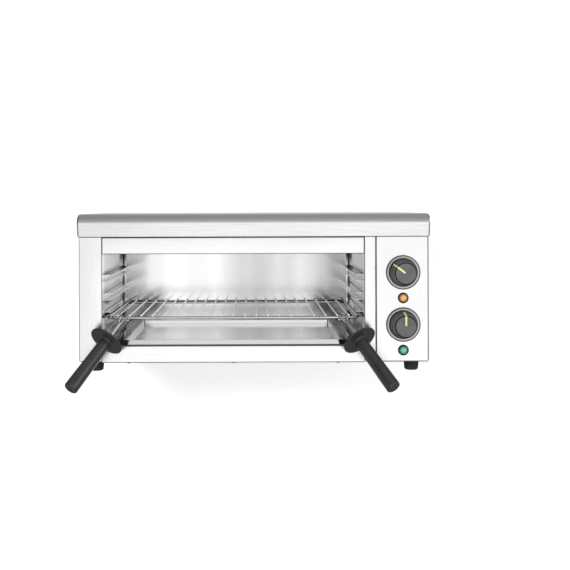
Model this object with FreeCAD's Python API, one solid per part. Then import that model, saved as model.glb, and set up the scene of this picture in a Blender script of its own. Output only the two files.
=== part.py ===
import FreeCAD, Part
import math
import os
from FreeCAD import Vector

# Wall-mounted salamander grill, in millimetres.
# +Z is up and the front faces -Y. The origin is the centre of the wall
# bracket's four holes, on the wall itself.

# Overall body
BODY_WIDTH = 610.0
BODY_HEIGHT = 258.0
BODY_DEPTH = 284.0
WALL_GAP = 16.0
WALL_HOLES_DROP = 108.0
SHEET = 1.2
BEND = 0.8
SEAM = 1.2

# Front layout
LEFT_POST_WIDTH = 40.7
RIGHT_POST_WIDTH = 20.4
CONTROL_WIDTH = 90.6
LOWER_PANEL_HEIGHT = 28.5
LOWER_PANEL_PROUD = 1.5
LINTEL_HEIGHT = 29.2
HOOD_SEAM = 1.6
POST_RETURN = 25.0
EDGE_FOLD = 12.0

# Hood
HOOD_HEIGHT = 39.4
HOOD_REACH = 13.3
HOOD_FOOT_REACH = 8.5
HOOD_RADIUS = 17.0
HOOD_END_ROUND = 4.0

# Cavity
CAVITY_REAR_SPACE = 24.0
FLOOR_LEVEL = 29.7
REFLECTOR_DROP = 10.0
CORNER_SLIT = 2.4

# Runners
RAIL_COUNT = 4
RAIL_PITCH = 32.7
LOWEST_RAIL_LEVEL = 40.5
RAIL_HEIGHT = 12.4
RAIL_REACH = 13.2
RAIL_SHEET = 1.0
GRID_RAIL = 1

# Grid
GRID_WIRE = 4.6
GRID_PLAY = 0.3
CROSS_WIRE = 3.0
CROSS_WIRES_EACH_SIDE = 10
CROSS_END_GAP = 18.05
GRID_SIDE_INSET = 9.7
GRID_SETBACK = 9.0
GRID_REAR_GAP = 11.0
GRID_CORNER = 14.0

# Crumb tray
TRAY_HANDLE_INSET = 4.4
TRAY_HEIGHT = 8.5
TRAY_SHEET = 1.0
TRAY_SETBACK = 1.0
TRAY_REAR_GAP = 3.0
TRAY_CLEARANCE = 0.3
TRAY_SIDE_GAP = 0.8
TRAY_CORNER = 3.0

# Handles
HANDLE_SPLAY = 34.7
HANDLE_DROP = 38.5
HOOK_BAR = 4.0
HOOK_EYE_SPACING = 11.0
HOOK_PLAY = 0.35
HOOK_END_ANGLE = 250.0
TUBE_START = 13.0
TUBE_RADIUS = 5.3
TUBE_WALL = 1.2
GUARD_START = 53.8
GUARD_RADIUS = 30.6
GUARD_THICKNESS = 3.0
GRIP_LENGTH = 109.0
GRIP_NECK_RADIUS = 10.8
GRIP_END_RADIUS = 12.3
GUARD_GAP = 0.3
GUARD_EDGE = 1.0
GRIP_END_ROUND = 3.0
TUBE_NOSE = 4.0
TUBE_END_GAP = 12.0
GRIP_FIT = 0.05
HOOK_NARROWING = 0.45
HOOK_WELD = 0.6
HOOK_SWELL = 0.1
HOOK_OVERHANG = 0.3
LIFT_SEARCH = 35.0
LIFT_STEPS = 40

# Controls
KNOB_INSET = 44.7
LOWER_KNOB_HEIGHT = 63.9
KNOB_SPACING = 90.9
AMBER_LAMP_SHARE = 0.51
GREEN_LAMP_DROP = 44.5
BEZEL_RADIUS = 30.0
BEZEL_THICKNESS = 1.6
KNOB_BASE_RADIUS = 24.0
KNOB_TOP_RADIUS = 18.8
KNOB_REACH = 30.0
KNOB_GAP = 0.8
KNOB_SHELL = 3.0
POINTER_WIDTH = 3.0
UPPER_POINTER_ANGLE = 52.0
LOWER_POINTER_ANGLE = 0.0
SPINDLE_RADIUS = 3.0
SPINDLE_FIT = 0.05
BUSH_RADIUS = 5.0
LAMP_RADIUS = 9.4
LENS_RADIUS = 7.2
LENS_PLAY = 0.1
LENS_RIM = 1.4
LENS_RISE = 3.2
LAMP_SEAT = 0.8
LAMP_RIM = 2.4
LAMP_DEPTH = 26.0
KNOB_SKIRT = 2.6
KNOB_EDGE = 1.4
KNOB_CEILING = 4.0
KNOB_BOSS_RADIUS = 6.2
KNOB_BOSS_GAP = 6.0
POINTER_DEPTH = 0.5
POINTER_PROUD = 0.15
POINTER_START = 1.5
POINTER_FOOT = 4.0
SPINDLE_REACH = 22.0
SPINDLE_TAIL = 12.0
BUSH_REACH = 6.4
NUT_RADIUS = 8.0
NUT_THICKNESS = 3.0
REGULATOR_SIZE = 46.0
REGULATOR_DEPTH = 34.0
TIMER_SIZE = 52.0
TIMER_DEPTH = 40.0
RING_RIM = 1.2
RING_RIM_RISE = 0.5
RING_INNER_RADIUS = 25.0
DEVICE_CORNER = 2.0
RIM_STEPS = 3

# Openings and small folds
HOOD_SCREW_HOLE = 2.2
HOOD_SCREW_SETBACKS = (60.0, 225.0)
HOOD_SCREW_DROP = 27.0
COVER_TAB_HEIGHT = 20.0
COVER_TAB_SETBACK = 20.0
SIDE_VENT_COUNT = 5
SIDE_VENT_PITCH = 14.0
SIDE_VENT_LENGTH = 46.0
SIDE_VENT_WIDTH = 4.0
SIDE_VENT_SETBACK = 130.0
SIDE_VENT_HEIGHT = 62.0
REAR_VENT_COUNT = 5
REAR_VENT_PITCH = 9.0
REAR_VENT_LENGTH = 60.0
REAR_VENT_WIDTH = 4.0
LINTEL_RETURN = 22.0
PLATE_GAP = 0.6
PANEL_SCREW_OFFSETS = (-183.0, 0.0, 183.0)
PANEL_SCREW_SETBACK = 7.0
PANEL_UNDERLAP = 16.0
PANEL_TOP_FOLD = 10.0
SMALL_SCREW_HOLE = 2.2
LAMP_BODY_RADIUS = 6.0
BUSH_PLAY = 0.2

BASE_VENT_COUNT = 4
BASE_VENT_PITCH = 9.0
BASE_VENT_LENGTH = 60.0
BASE_VENT_WIDTH = 4.0
BASE_VENT_SETBACK = 120.0

# Heating elements
ELEMENT_PLAY = 0.3
SUPPORT_END = 14.0
ELEMENT_TAIL = 16.0
ELEMENT_BEND_GAP = 22.0
SUPPORT_OFFSETS = (-130.0, 110.0)
SUPPORT_DROP = 16.0
TERMINAL_RADIUS = 5.2
TERMINAL_LENGTH = 9.0
STUD_RADIUS = 2.0
STUD_LENGTH = 10.0
ELEMENT_RADIUS = 4.0
ELEMENT_DROP = 10.0
ELEMENT_SPAN = 50.0
FRONT_ELEMENT_Y = 55.0
REAR_ELEMENT_Y = 150.0

# Feet
FOOT_HEIGHT = 20.0
FOOT_RADIUS = 14.0
FOOT_INSET_X = 25.0
FOOT_SETBACK = 35.0
FOOT_REAR_SETBACK = 40.0
FOOT_TAPER = 2.4
FOOT_EDGE = 1.5
FOOT_RECESS_RADIUS = 6.5
FOOT_WEB = 5.0
FOOT_SCREW_RADIUS = 2.4
FOOT_SCREW_HOLE = 2.6
FOOT_SCREW_HEAD = 4.6
FOOT_NUT_RADIUS = 5.0
NUT_HEIGHT = 3.2

# Screws
SCREW_RADIUS = 2.0
SCREW_HEAD_RADIUS = 3.8
SCREW_HEAD_HEIGHT = 2.2
SCREW_LENGTH = 7.0

# Wall bracket
BRACKET_SHEET = 2.0
BRACKET_END = 25.0
WALL_SPACING_X = 400.0
WALL_SPACING_Z = 90.0
WALL_HOLE_RADIUS = 4.25
BRACKET_MARGIN = 22.0
CLEAT_SHELF = 56.0
CLEAT_REACH = 9.0
CLEAT_LIP = 18.0
CLEAT_PLAY = 1.2
CLEAT_LIP_GAP = 2.0
RAIL_PLATE_DROP = 30.0
BUFFER_RADIUS = 10.0
BUFFER_X = 240.0
BUFFER_HEIGHT = 40.0
RAIL_SCREW_RISE = 4.0
RAIL_SCREW_XS = (-190.0, -65.0, 65.0, 190.0)
REAR_SCREW_MARGIN = 28.0

# Cable gland
GLAND_BORE_RADIUS = 4.5
GLAND_INSET = 65.0
GLAND_FROM_REAR = 44.0
GLAND_THREAD_RADIUS = 8.0
GLAND_HEX_RADIUS = 12.0
GLAND_REACH = 14.0
GLAND_INSIDE = 10.0
GLAND_HEX = 5.0

# Terminal block and earth stud
TERMINAL_POLES = 5
TERMINAL_PITCH = 10.0
TERMINAL_DEPTH = 22.0
TERMINAL_HEIGHT = 18.0
TERMINAL_BORE = 2.2
TERMINAL_FROM_REAR = 99.0
EARTH_OFFSET = 38.0
EARTH_HEIGHT = 14.0

# Values worked out from those above
REAR_Y = -WALL_GAP
FRONT_Y = REAR_Y - BODY_DEPTH
BASE_Z = WALL_HOLES_DROP - BODY_HEIGHT
HALF_WIDTH = BODY_WIDTH / 2
HOOD_BOTTOM = BODY_HEIGHT - HOOD_HEIGHT
FRONT_TOP = HOOD_BOTTOM - HOOD_SEAM
LINTEL_BOTTOM = FRONT_TOP - LINTEL_HEIGHT
REFLECTOR_LEVEL = FRONT_TOP - REFLECTOR_DROP
ELEMENT_LEVEL = REFLECTOR_LEVEL - ELEMENT_DROP
REAR_SCREW_HEIGHTS = (REAR_SCREW_MARGIN, FRONT_TOP / 2, FRONT_TOP - REAR_SCREW_MARGIN)
BRACKET_WIDTH = WALL_SPACING_X + 2 * BRACKET_END
OPENING_LEFT = -HALF_WIDTH + LEFT_POST_WIDTH
CONTROL_LEFT = HALF_WIDTH - CONTROL_WIDTH
OPENING_RIGHT = CONTROL_LEFT - SEAM - RIGHT_POST_WIDTH
CAVITY_MID = (OPENING_LEFT + OPENING_RIGHT) / 2
CAVITY_LEFT = OPENING_LEFT - SHEET
CAVITY_RIGHT = OPENING_RIGHT + SHEET
GRID_WIRE_LEVEL = LOWEST_RAIL_LEVEL + GRID_RAIL * RAIL_PITCH + GRID_PLAY + GRID_WIRE / 2
GRID_HALF = (CAVITY_RIGHT - CAVITY_LEFT) / 2 - GRID_SIDE_INSET
CAVITY_DEPTH = BODY_DEPTH - CAVITY_REAR_SPACE
GRID_DEPTH = CAVITY_DEPTH - GRID_SETBACK - GRID_REAR_GAP
CROSS_PITCH = (GRID_HALF - CROSS_END_GAP) / CROSS_WIRES_EACH_SIDE
HANDLE_OFFSET = (CROSS_WIRES_EACH_SIDE - 0.5) * CROSS_PITCH
TRAY_LEFT = CAVITY_MID - HANDLE_OFFSET + TRAY_HANDLE_INSET
TRAY_RIGHT = CAVITY_MID + HANDLE_OFFSET - TRAY_HANDLE_INSET
KNOB_X = HALF_WIDTH - KNOB_INSET
GLAND_X = HALF_WIDTH - GLAND_INSET
UPPER_KNOB_HEIGHT = LOWER_KNOB_HEIGHT + KNOB_SPACING
AMBER_LAMP_HEIGHT = LOWER_KNOB_HEIGHT + KNOB_SPACING * AMBER_LAMP_SHARE
GREEN_LAMP_HEIGHT = LOWER_KNOB_HEIGHT - GREEN_LAMP_DROP
TRAY_LEVEL = FLOOR_LEVEL + TRAY_CLEARANCE
GUIDE_TOP = TRAY_LEVEL + TRAY_HEIGHT - TRAY_CLEARANCE
PARTITION_X = CONTROL_LEFT - SEAM
BASE_REAR = REAR_Y - 3 * SHEET

X_AXIS = Vector(1, 0, 0)
Y_AXIS = Vector(0, 1, 0)
Z_AXIS = Vector(0, 0, 1)


def back(distance):
    """Y of a plane this far behind the front of the body."""
    return FRONT_Y + distance


def up(height):
    """Z of a level this far above the underside of the body."""
    return BASE_Z + height


def block(x0, x1, y0, y1, z0, z1):
    """Box between two corners."""
    corner = Vector(x0, y0, z0)
    return Part.makeBox(x1 - x0, y1 - y0, z1 - z0, corner)


def rod(radius, start, end):
    """Round bar between two points."""
    return Part.makeCylinder(radius, (end - start).Length, start, end - start)


def revolved(points, centre, direction):
    """Solid turned from (radius, distance) points about a line from centre."""
    wire = Part.makePolygon([Vector(r, 0, h) for r, h in points + points[:1]])
    solid = Part.Face(wire).revolve(Vector(0, 0, 0), Z_AXIS, 360)
    turn = FreeCAD.Rotation(Z_AXIS, direction)
    solid.Placement = FreeCAD.Placement(centre, turn)
    return solid


def joined(shapes):
    """One solid from pieces of the same material."""
    whole = shapes[0]
    for shape in shapes[1:]:
        whole = whole.fuse(shape)
    return whole.removeSplitter()


def lifted(kind, a, b, level):
    """Point of a drawing plane: plan is XY, side is YZ and front is XZ."""
    if kind == "plan":
        return Vector(a, b, level)
    if kind == "side":
        return Vector(level, a, b)
    return Vector(a, level, b)


def folded(points, kind, start, end, thickness=SHEET, bend=BEND):
    """Sheet bent along a path, its metal to the left of the path."""
    path = [Vector(a, b, 0) for a, b in points]
    near = []
    far = []
    for i in range(1, len(path) - 1):
        before = (path[i] - path[i - 1]).normalize()
        after = (path[i + 1] - path[i]).normalize()
        turn = before.cross(after).z
        angle = before.getAngle(after)
        near_radius = bend + thickness if turn > 0 else bend
        far_radius = bend if turn > 0 else bend + thickness
        side = 1 if turn > 0 else -1
        length = near_radius * math.tan(angle / 2)
        normal = Vector(-before.y, before.x, 0)
        leave = Vector(-after.y, after.x, 0)
        first = path[i] - before * length
        last = path[i] + after * length
        centre = first + normal * (side * near_radius)
        outward = (path[i] - centre).normalize()
        near.append((first, centre + outward * near_radius, last))
        far.append((first + normal * thickness, centre + outward * far_radius, last + leave * thickness))
    start_normal = (path[1] - path[0]).normalize()
    end_normal = (path[-1] - path[-2]).normalize()
    near_line = [path[0], near, path[-1]]
    far_line = [
        path[0] + Vector(-start_normal.y, start_normal.x, 0) * thickness,
        far,
        path[-1] + Vector(-end_normal.y, end_normal.x, 0) * thickness,
    ]
    edges = outline(near_line, kind, start) + outline(far_line, kind, start)
    edges.append(Part.makeLine(lifted(kind, near_line[0].x, near_line[0].y, start),
                               lifted(kind, far_line[0].x, far_line[0].y, start)))
    edges.append(Part.makeLine(lifted(kind, near_line[2].x, near_line[2].y, start),
                               lifted(kind, far_line[2].x, far_line[2].y, start)))
    wire = Part.Wire(Part.__sortEdges__(edges))
    return Part.Face(wire).extrude(lifted(kind, 0, 0, end - start))


def outline(line, kind, level):
    """Edges of one side of a bent sheet: straight runs joined by arcs."""
    edges = []
    here = line[0]
    for first, middle, last in line[1]:
        edges.append(Part.makeLine(lifted(kind, here.x, here.y, level),
                                   lifted(kind, first.x, first.y, level)))
        arc = Part.Arc(lifted(kind, first.x, first.y, level), lifted(kind, middle.x, middle.y, level),
                       lifted(kind, last.x, last.y, level))
        edges.append(arc.toShape())
        here = last
    edges.append(Part.makeLine(lifted(kind, here.x, here.y, level),
                               lifted(kind, line[2].x, line[2].y, level)))
    return edges


def bored(solid, holes, radius, direction, depth):
    """Solid with round holes through it, each from a point along a direction."""
    for hole in holes:
        solid = solid.cut(Part.makeCylinder(radius, depth, hole, direction))
    return solid


def slot_cutter(centre, length, width, kind, depth):
    """Round-ended slot for vents: kind side cuts along X, plan cuts along Z, front along Y."""
    half = length / 2 - width / 2
    lines = {"plan": (Y_AXIS, Z_AXIS), "front": (Z_AXIS, Y_AXIS), "side": (Z_AXIS, X_AXIS)}
    along, through = lines[kind]
    start = centre - along * half - through * (depth / 2)
    across = along.cross(through) * (width / 2)
    corners = [start + across, start + along * (2 * half) + across,
               start + along * (2 * half) - across, start - across]
    middle = Part.Face(Part.makePolygon(corners + corners[:1])).extrude(through * depth)
    first = Part.makeCylinder(width / 2, depth, start, through)
    last = Part.makeCylinder(width / 2, depth, start + along * (2 * half), through)
    return middle.fuse([first, last])


def hood_outline(inset):
    """Side outline of the hood: flat top, rolled front and a face that leans back."""
    top = up(BODY_HEIGHT - inset)
    foot = up(HOOD_BOTTOM)
    radius = HOOD_RADIUS - inset
    nose = back(inset - HOOD_REACH)
    lean = back(inset - HOOD_FOOT_REACH)
    rear = REAR_Y - inset
    centre = Vector(0, nose + radius, top - radius)
    slant = radius * math.sqrt(0.5)
    start = Vector(0, nose + radius, top)
    middle = centre + Vector(0, -slant, slant)
    end = Vector(0, nose, top - radius)
    corners = [end, Vector(0, lean, foot), Vector(0, rear, foot), Vector(0, rear, top), start]
    edges = [Part.makeLine(a, b) for a, b in zip(corners, corners[1:])]
    edges.append(Part.Arc(start, middle, end).toShape())
    return Part.Wire(Part.__sortEdges__(edges))


def hood_screw_points(side_x):
    """Places of the screws that hold one side of the hood."""
    level = up(BODY_HEIGHT - HOOD_SCREW_DROP)
    return [Vector(side_x, back(setback), level) for setback in HOOD_SCREW_SETBACKS]


def is_hood_rim(edge, half):
    """True for an end edge of the hood other than its foot and its rear corner."""
    box = edge.BoundBox
    at_end = box.XLength < 1e-6 and abs(abs(box.XMax) - half) < 1e-6
    return at_end and box.ZMax > up(HOOD_BOTTOM) + SHEET and box.YMin < REAR_Y - 2 * SHEET


def hood_block(inset):
    """Solid within the hood at some depth below its skin, its ends rounded."""
    half = HALF_WIDTH + SHEET - inset
    solid = Part.Face(hood_outline(inset)).extrude(Vector(2 * half, 0, 0))
    solid.translate(Vector(-half, 0, 0))
    return solid.makeFillet(HOOD_END_ROUND - inset, [e for e in solid.Edges if is_hood_rim(e, half)])


def top_cover():
    half = HALF_WIDTH + SHEET
    outer = hood_block(0)
    inner = hood_block(SHEET)
    hem = block(-HALF_WIDTH, HALF_WIDTH, back(SHEET - HOOD_FOOT_REACH), back(-SHEET), up(HOOD_BOTTOM),
                up(HOOD_BOTTOM) + SHEET)
    cover = joined([outer.cut(inner), hem])
    return bored(cover, hood_screw_points(-half - 1), HOOD_SCREW_HOLE, X_AXIS, 2 * half + 2)


def cover_tab(side_x):
    """Upper edge of a side sheet that the hood laps over and is screwed to."""
    tab = block(side_x, side_x + SHEET, back(COVER_TAB_SETBACK), back(BODY_DEPTH - EDGE_FOLD),
                up(FRONT_TOP), up(FRONT_TOP + COVER_TAB_HEIGHT))
    return bored(tab, hood_screw_points(side_x - 1), HOOD_SCREW_HOLE, X_AXIS, SHEET + 2)


def left_side_panel():
    """Side sheet folded round the front corner into the left post and back into the opening."""
    left = -HALF_WIDTH
    rear = REAR_Y - SHEET
    path = [(left + EDGE_FOLD, rear), (left, rear), (left, FRONT_Y), (OPENING_LEFT, FRONT_Y),
            (OPENING_LEFT, back(POST_RETURN))]
    panel = joined([folded(path, "plan", up(SHEET), up(FRONT_TOP)), cover_tab(left)])
    return bored(panel, rear_screw_points(rear - SHEET - 1), SMALL_SCREW_HOLE, Y_AXIS, SHEET + 2)


def right_side_panel():
    """Side sheet with a fold front and rear, and vents for the control compartment."""
    right = HALF_WIDTH
    rear = REAR_Y - SHEET
    path = [(right - EDGE_FOLD, back(SHEET)), (right, back(SHEET)), (right, rear), (right - EDGE_FOLD, rear)]
    panel = joined([folded(path, "plan", up(SHEET), up(FRONT_TOP)), cover_tab(right - SHEET)])
    for i in range(SIDE_VENT_COUNT):
        place = Vector(right, back(SIDE_VENT_SETBACK + i * SIDE_VENT_PITCH), up(SIDE_VENT_HEIGHT))
        panel = panel.cut(slot_cutter(place, SIDE_VENT_LENGTH, SIDE_VENT_WIDTH, "side", 4 * SHEET))
    return bored(panel, rear_screw_points(rear - SHEET - 1), SMALL_SCREW_HOLE, Y_AXIS, SHEET + 2)


def right_post():
    """Narrow post between the opening and the control panel."""
    path = [(OPENING_RIGHT, back(POST_RETURN)), (OPENING_RIGHT, FRONT_Y), (PARTITION_X, FRONT_Y),
            (PARTITION_X, back(POST_RETURN))]
    return folded(path, "plan", up(SHEET), up(FRONT_TOP))


def lintel_panel():
    """Front plate over the opening, folded back at its upper and lower edges."""
    path = [(back(EDGE_FOLD), up(FRONT_TOP)), (FRONT_Y, up(FRONT_TOP)), (FRONT_Y, up(LINTEL_BOTTOM)),
            (back(LINTEL_RETURN), up(LINTEL_BOTTOM))]
    return folded(path, "side", OPENING_LEFT + PLATE_GAP, OPENING_RIGHT - PLATE_GAP)


def panel_screw_points(level):
    """Places of the three screws under the lower front panel."""
    return [Vector(CAVITY_MID + x, back(PANEL_SCREW_SETBACK), level) for x in PANEL_SCREW_OFFSETS]


def lower_front_panel():
    """Front plate under the tray, folded back on top and lapped under the base."""
    face = back(-LOWER_PANEL_PROUD)
    path = [(back(PANEL_TOP_FOLD), up(LOWER_PANEL_HEIGHT)), (face, up(LOWER_PANEL_HEIGHT)),
            (face, up(-SHEET)), (back(PANEL_UNDERLAP), up(-SHEET))]
    panel = folded(path, "side", OPENING_LEFT + PLATE_GAP, OPENING_RIGHT - PLATE_GAP)
    return bored(panel, panel_screw_points(up(-SHEET - 1)), SMALL_SCREW_HOLE, Z_AXIS, SHEET + 2)


def control_points(heights, setback=0.0):
    """Places on the control panel at these heights."""
    return [Vector(KNOB_X, back(setback), up(height)) for height in heights]


def control_panel():
    """Front plate that carries the knobs and lamps, folded back beside the post."""
    plate = block(CONTROL_LEFT, HALF_WIDTH, FRONT_Y, back(SHEET), up(SHEET), up(FRONT_TOP))
    fold = block(CONTROL_LEFT, CONTROL_LEFT + SHEET, back(SHEET), back(EDGE_FOLD), up(SHEET), up(FRONT_TOP))
    knob_holes = control_points((UPPER_KNOB_HEIGHT, LOWER_KNOB_HEIGHT), -1)
    lamp_holes = control_points((AMBER_LAMP_HEIGHT, GREEN_LAMP_HEIGHT), -1)
    panel = bored(joined([plate, fold]), knob_holes, BUSH_RADIUS + BUSH_PLAY, Y_AXIS, SHEET + 2)
    return bored(panel, lamp_holes, LAMP_BODY_RADIUS + BUSH_PLAY, Y_AXIS, SHEET + 2)


def foot_points(level):
    """Places of the four feet on a level."""
    across = HALF_WIDTH - FOOT_INSET_X
    deep = (back(FOOT_SETBACK), back(BODY_DEPTH - FOOT_REAR_SETBACK))
    return [Vector(x, y, level) for x in (-across, across) for y in deep]


def gland_point(level):
    """Place of the cable gland on a level."""
    return Vector(GLAND_X, REAR_Y - GLAND_FROM_REAR, level)


def base_plate():
    """Floor of the body with edges turned up inside the side and rear sheets."""
    side = HALF_WIDTH - SHEET
    path = [(-side, up(EDGE_FOLD)), (-side, up(0)), (side, up(0)), (side, up(EDGE_FOLD))]
    plate = folded(path, "front", back(3 * SHEET), BASE_REAR)
    rim = block(-side + EDGE_FOLD, side - EDGE_FOLD, BASE_REAR - SHEET, BASE_REAR, up(0), up(EDGE_FOLD))
    plate = joined([plate, rim])
    plate = bored(plate, panel_screw_points(up(-1)), SMALL_SCREW_HOLE, Z_AXIS, SHEET + 2)
    plate = bored(plate, foot_points(up(-1)), FOOT_SCREW_HOLE, Z_AXIS, SHEET + 2)
    plate = bored(plate, [gland_point(up(-1))], GLAND_THREAD_RADIUS + BUSH_PLAY, Z_AXIS, SHEET + 2)
    for i in range(BASE_VENT_COUNT):
        x = KNOB_X + (i - (BASE_VENT_COUNT - 1) / 2) * BASE_VENT_PITCH
        place = Vector(x, back(BASE_VENT_SETBACK), up(0))
        plate = plate.cut(slot_cutter(place, BASE_VENT_LENGTH, BASE_VENT_WIDTH, "plan", 4 * SHEET))
    return plate


def rear_panel():
    """Rear sheet between the side sheets, with vents behind the control compartment."""
    panel = block(-HALF_WIDTH, HALF_WIDTH, REAR_Y - SHEET, REAR_Y, up(SHEET), up(HOOD_BOTTOM - SHEET))
    for i in range(REAR_VENT_COUNT):
        x = KNOB_X + (i - (REAR_VENT_COUNT - 1) / 2) * REAR_VENT_PITCH
        place = Vector(x, REAR_Y, up(UPPER_KNOB_HEIGHT))
        panel = panel.cut(slot_cutter(place, REAR_VENT_LENGTH, REAR_VENT_WIDTH, "front", 4 * SHEET))
    panel = bored(panel, rail_screw_points(REAR_Y - SHEET - 1), SMALL_SCREW_HOLE, Y_AXIS, SHEET + 2)
    panel = bored(panel, rear_screw_points(REAR_Y - SHEET - 1), SMALL_SCREW_HOLE, Y_AXIS, SHEET + 2)
    return panel


def compartment_wall():
    """Sheet that parts the control compartment from the cavity."""
    x = PARTITION_X - SHEET
    wall = block(x, PARTITION_X, back(POST_RETURN), BASE_REAR - 2 * SHEET, up(SHEET), up(FRONT_TOP))
    return bored(wall, element_ends(x - 1), ELEMENT_RADIUS + ELEMENT_PLAY, X_AXIS, SHEET + 2)


def cavity_left_wall():
    """Left wall of the cavity, its rear edge folded outwards."""
    rear = back(CAVITY_DEPTH)
    path = [(CAVITY_LEFT, back(SHEET + BEND)), (CAVITY_LEFT, rear), (CAVITY_LEFT - EDGE_FOLD, rear)]
    return folded(path, "plan", up(FLOOR_LEVEL), up(REFLECTOR_LEVEL))


def cavity_right_wall():
    """Right wall of the cavity with holes for the heating elements."""
    rear = back(CAVITY_DEPTH)
    x = CAVITY_RIGHT
    path = [(x + EDGE_FOLD, rear), (x, rear), (x, back(SHEET + BEND))]
    wall = folded(path, "plan", up(FLOOR_LEVEL), up(REFLECTOR_LEVEL))
    return bored(wall, element_ends(x - 1), ELEMENT_RADIUS + ELEMENT_PLAY, X_AXIS, SHEET + 2)


def cavity_back_wall():
    """Bright back wall with folded side edges that leave a slit at each corner."""
    rear = back(CAVITY_DEPTH)
    left = CAVITY_LEFT + CORNER_SLIT
    right = CAVITY_RIGHT - CORNER_SLIT
    path = [(left, rear + EDGE_FOLD), (left, rear), (right, rear), (right, rear + EDGE_FOLD)]
    return folded(path, "plan", up(FLOOR_LEVEL), up(REFLECTOR_LEVEL))


def cavity_sheet(low, high, front, rear):
    """Flat sheet over the whole cavity, notched at the front between the two posts."""
    tongue = block(OPENING_LEFT + PLATE_GAP, OPENING_RIGHT - PLATE_GAP, front,
                   back(POST_RETURN + PLATE_GAP), low, high)
    field = block(CAVITY_LEFT - SHEET, CAVITY_RIGHT + SHEET, back(POST_RETURN + PLATE_GAP), rear, low, high)
    return joined([tongue, field])


def cavity_floor():
    """Flat floor that the crumb tray slides on."""
    return cavity_sheet(up(FLOOR_LEVEL - SHEET), up(FLOOR_LEVEL), back(PLATE_GAP), BASE_REAR)


def heat_reflector():
    """Bright sheet over the heating elements."""
    low = up(REFLECTOR_LEVEL)
    return cavity_sheet(low, low + SHEET, back(SHEET), back(CAVITY_DEPTH + EDGE_FOLD))


def tray_guide(path):
    """Folded ledge beside the tray, standing on the floor, with its front end closed."""
    xs = [x for x, z in path]
    ledge = folded(path, "front", back(SHEET), back(CAVITY_DEPTH - SHEET))
    front = block(min(xs), max(xs), back(SHEET), back(2 * SHEET), up(FLOOR_LEVEL), up(GUIDE_TOP))
    return joined([ledge, front])


def left_tray_guide():
    inner = TRAY_LEFT - TRAY_SIDE_GAP
    path = [(inner, up(FLOOR_LEVEL)), (inner, up(GUIDE_TOP)), (OPENING_LEFT, up(GUIDE_TOP))]
    return tray_guide(path)


def right_tray_guide():
    inner = TRAY_RIGHT + TRAY_SIDE_GAP
    path = [(OPENING_RIGHT, up(GUIDE_TOP)), (inner, up(GUIDE_TOP)), (inner, up(FLOOR_LEVEL))]
    return tray_guide(path)




def rail(wall_x, inwards, level):
    """Channel runner on a cavity wall, open towards the cavity, its seat at a level."""
    low = up(level - RAIL_SHEET)
    high = low + RAIL_HEIGHT
    edge = wall_x + inwards * RAIL_REACH
    path = [(edge, high), (wall_x, high), (wall_x, low), (edge, low)]
    if inwards < 0:
        path = path[::-1]
    return folded(path, "front", back(POST_RETURN + PLATE_GAP), back(CAVITY_DEPTH - SHEET), RAIL_SHEET)


def rails(wall_x, inwards):
    """All the runners of one wall."""
    levels = [LOWEST_RAIL_LEVEL + i * RAIL_PITCH for i in range(RAIL_COUNT)]
    return Part.makeCompound([rail(wall_x, inwards, level) for level in levels])


def left_rails():
    return rails(CAVITY_LEFT, 1)


def right_rails():
    return rails(CAVITY_RIGHT, -1)


def grid_frame():
    """Frame wire of the grid, a rectangle with round corners."""
    level = up(GRID_WIRE_LEVEL)
    left = CAVITY_MID - GRID_HALF
    right = CAVITY_MID + GRID_HALF
    front = back(GRID_SETBACK)
    rear = back(GRID_SETBACK + GRID_DEPTH)
    corner = GRID_CORNER
    radius = GRID_WIRE / 2
    pieces = []
    for y in (front, rear):
        pieces.append(rod(radius, Vector(left + corner, y, level), Vector(right - corner, y, level)))
    for x in (left, right):
        pieces.append(rod(radius, Vector(x, front + corner, level), Vector(x, rear - corner, level)))
    for x, y, first in ((left + corner, rear - corner, 90), (left + corner, front + corner, 180),
                        (right - corner, front + corner, 270), (right - corner, rear - corner, 0)):
        bend = Part.makeTorus(corner, radius, Vector(0, 0, 0), Z_AXIS, -180, 180, 90)
        bend.rotate(Vector(0, 0, 0), Z_AXIS, first)
        bend.translate(Vector(x, y, level))
        pieces.append(bend)
    return joined(pieces)


def cross_wire_xs():
    """Places of the cross wires, counted out from the middle of the grid."""
    count = CROSS_WIRES_EACH_SIDE
    return [CAVITY_MID + i * CROSS_PITCH for i in range(-count, count + 1)]


def grid_wires():
    """Cross wires that lie on the frame wire, from front to rear."""
    level = up(GRID_WIRE_LEVEL) + (GRID_WIRE + CROSS_WIRE) / 2
    front = back(GRID_SETBACK - GRID_WIRE / 4)
    rear = back(GRID_SETBACK + GRID_DEPTH + GRID_WIRE / 4)
    wires = [rod(CROSS_WIRE / 2, Vector(x, front, level), Vector(x, rear, level)) for x in cross_wire_xs()]
    return Part.makeCompound(wires)


def crumb_tray():
    """Shallow tray with upright sides, a rolled front lip and an open top."""
    depth = CAVITY_DEPTH - TRAY_SETBACK - TRAY_REAR_GAP
    front = back(TRAY_SETBACK)
    low = up(TRAY_LEVEL)
    outer = block(TRAY_LEFT, TRAY_RIGHT, front, front + depth, low, low + TRAY_HEIGHT)
    outer = outer.makeFillet(TRAY_CORNER, [e for e in outer.Edges if is_upright(e)])
    inner = block(TRAY_LEFT + TRAY_SHEET, TRAY_RIGHT - TRAY_SHEET, front + TRAY_SHEET,
                  front + depth - TRAY_SHEET, low + TRAY_SHEET, low + TRAY_HEIGHT + 1)
    inner = inner.makeFillet(TRAY_CORNER - TRAY_SHEET, [e for e in inner.Edges if is_upright(e)])
    return outer.cut(inner)


def is_upright(edge):
    """True for an edge that runs along Z."""
    line = edge.Vertexes[-1].Point - edge.Vertexes[0].Point
    return abs(line.x) + abs(line.y) < 1e-6


def element_runs(front):
    """Y of both straight runs of an element."""
    return (back(front), back(front + ELEMENT_SPAN))


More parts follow.
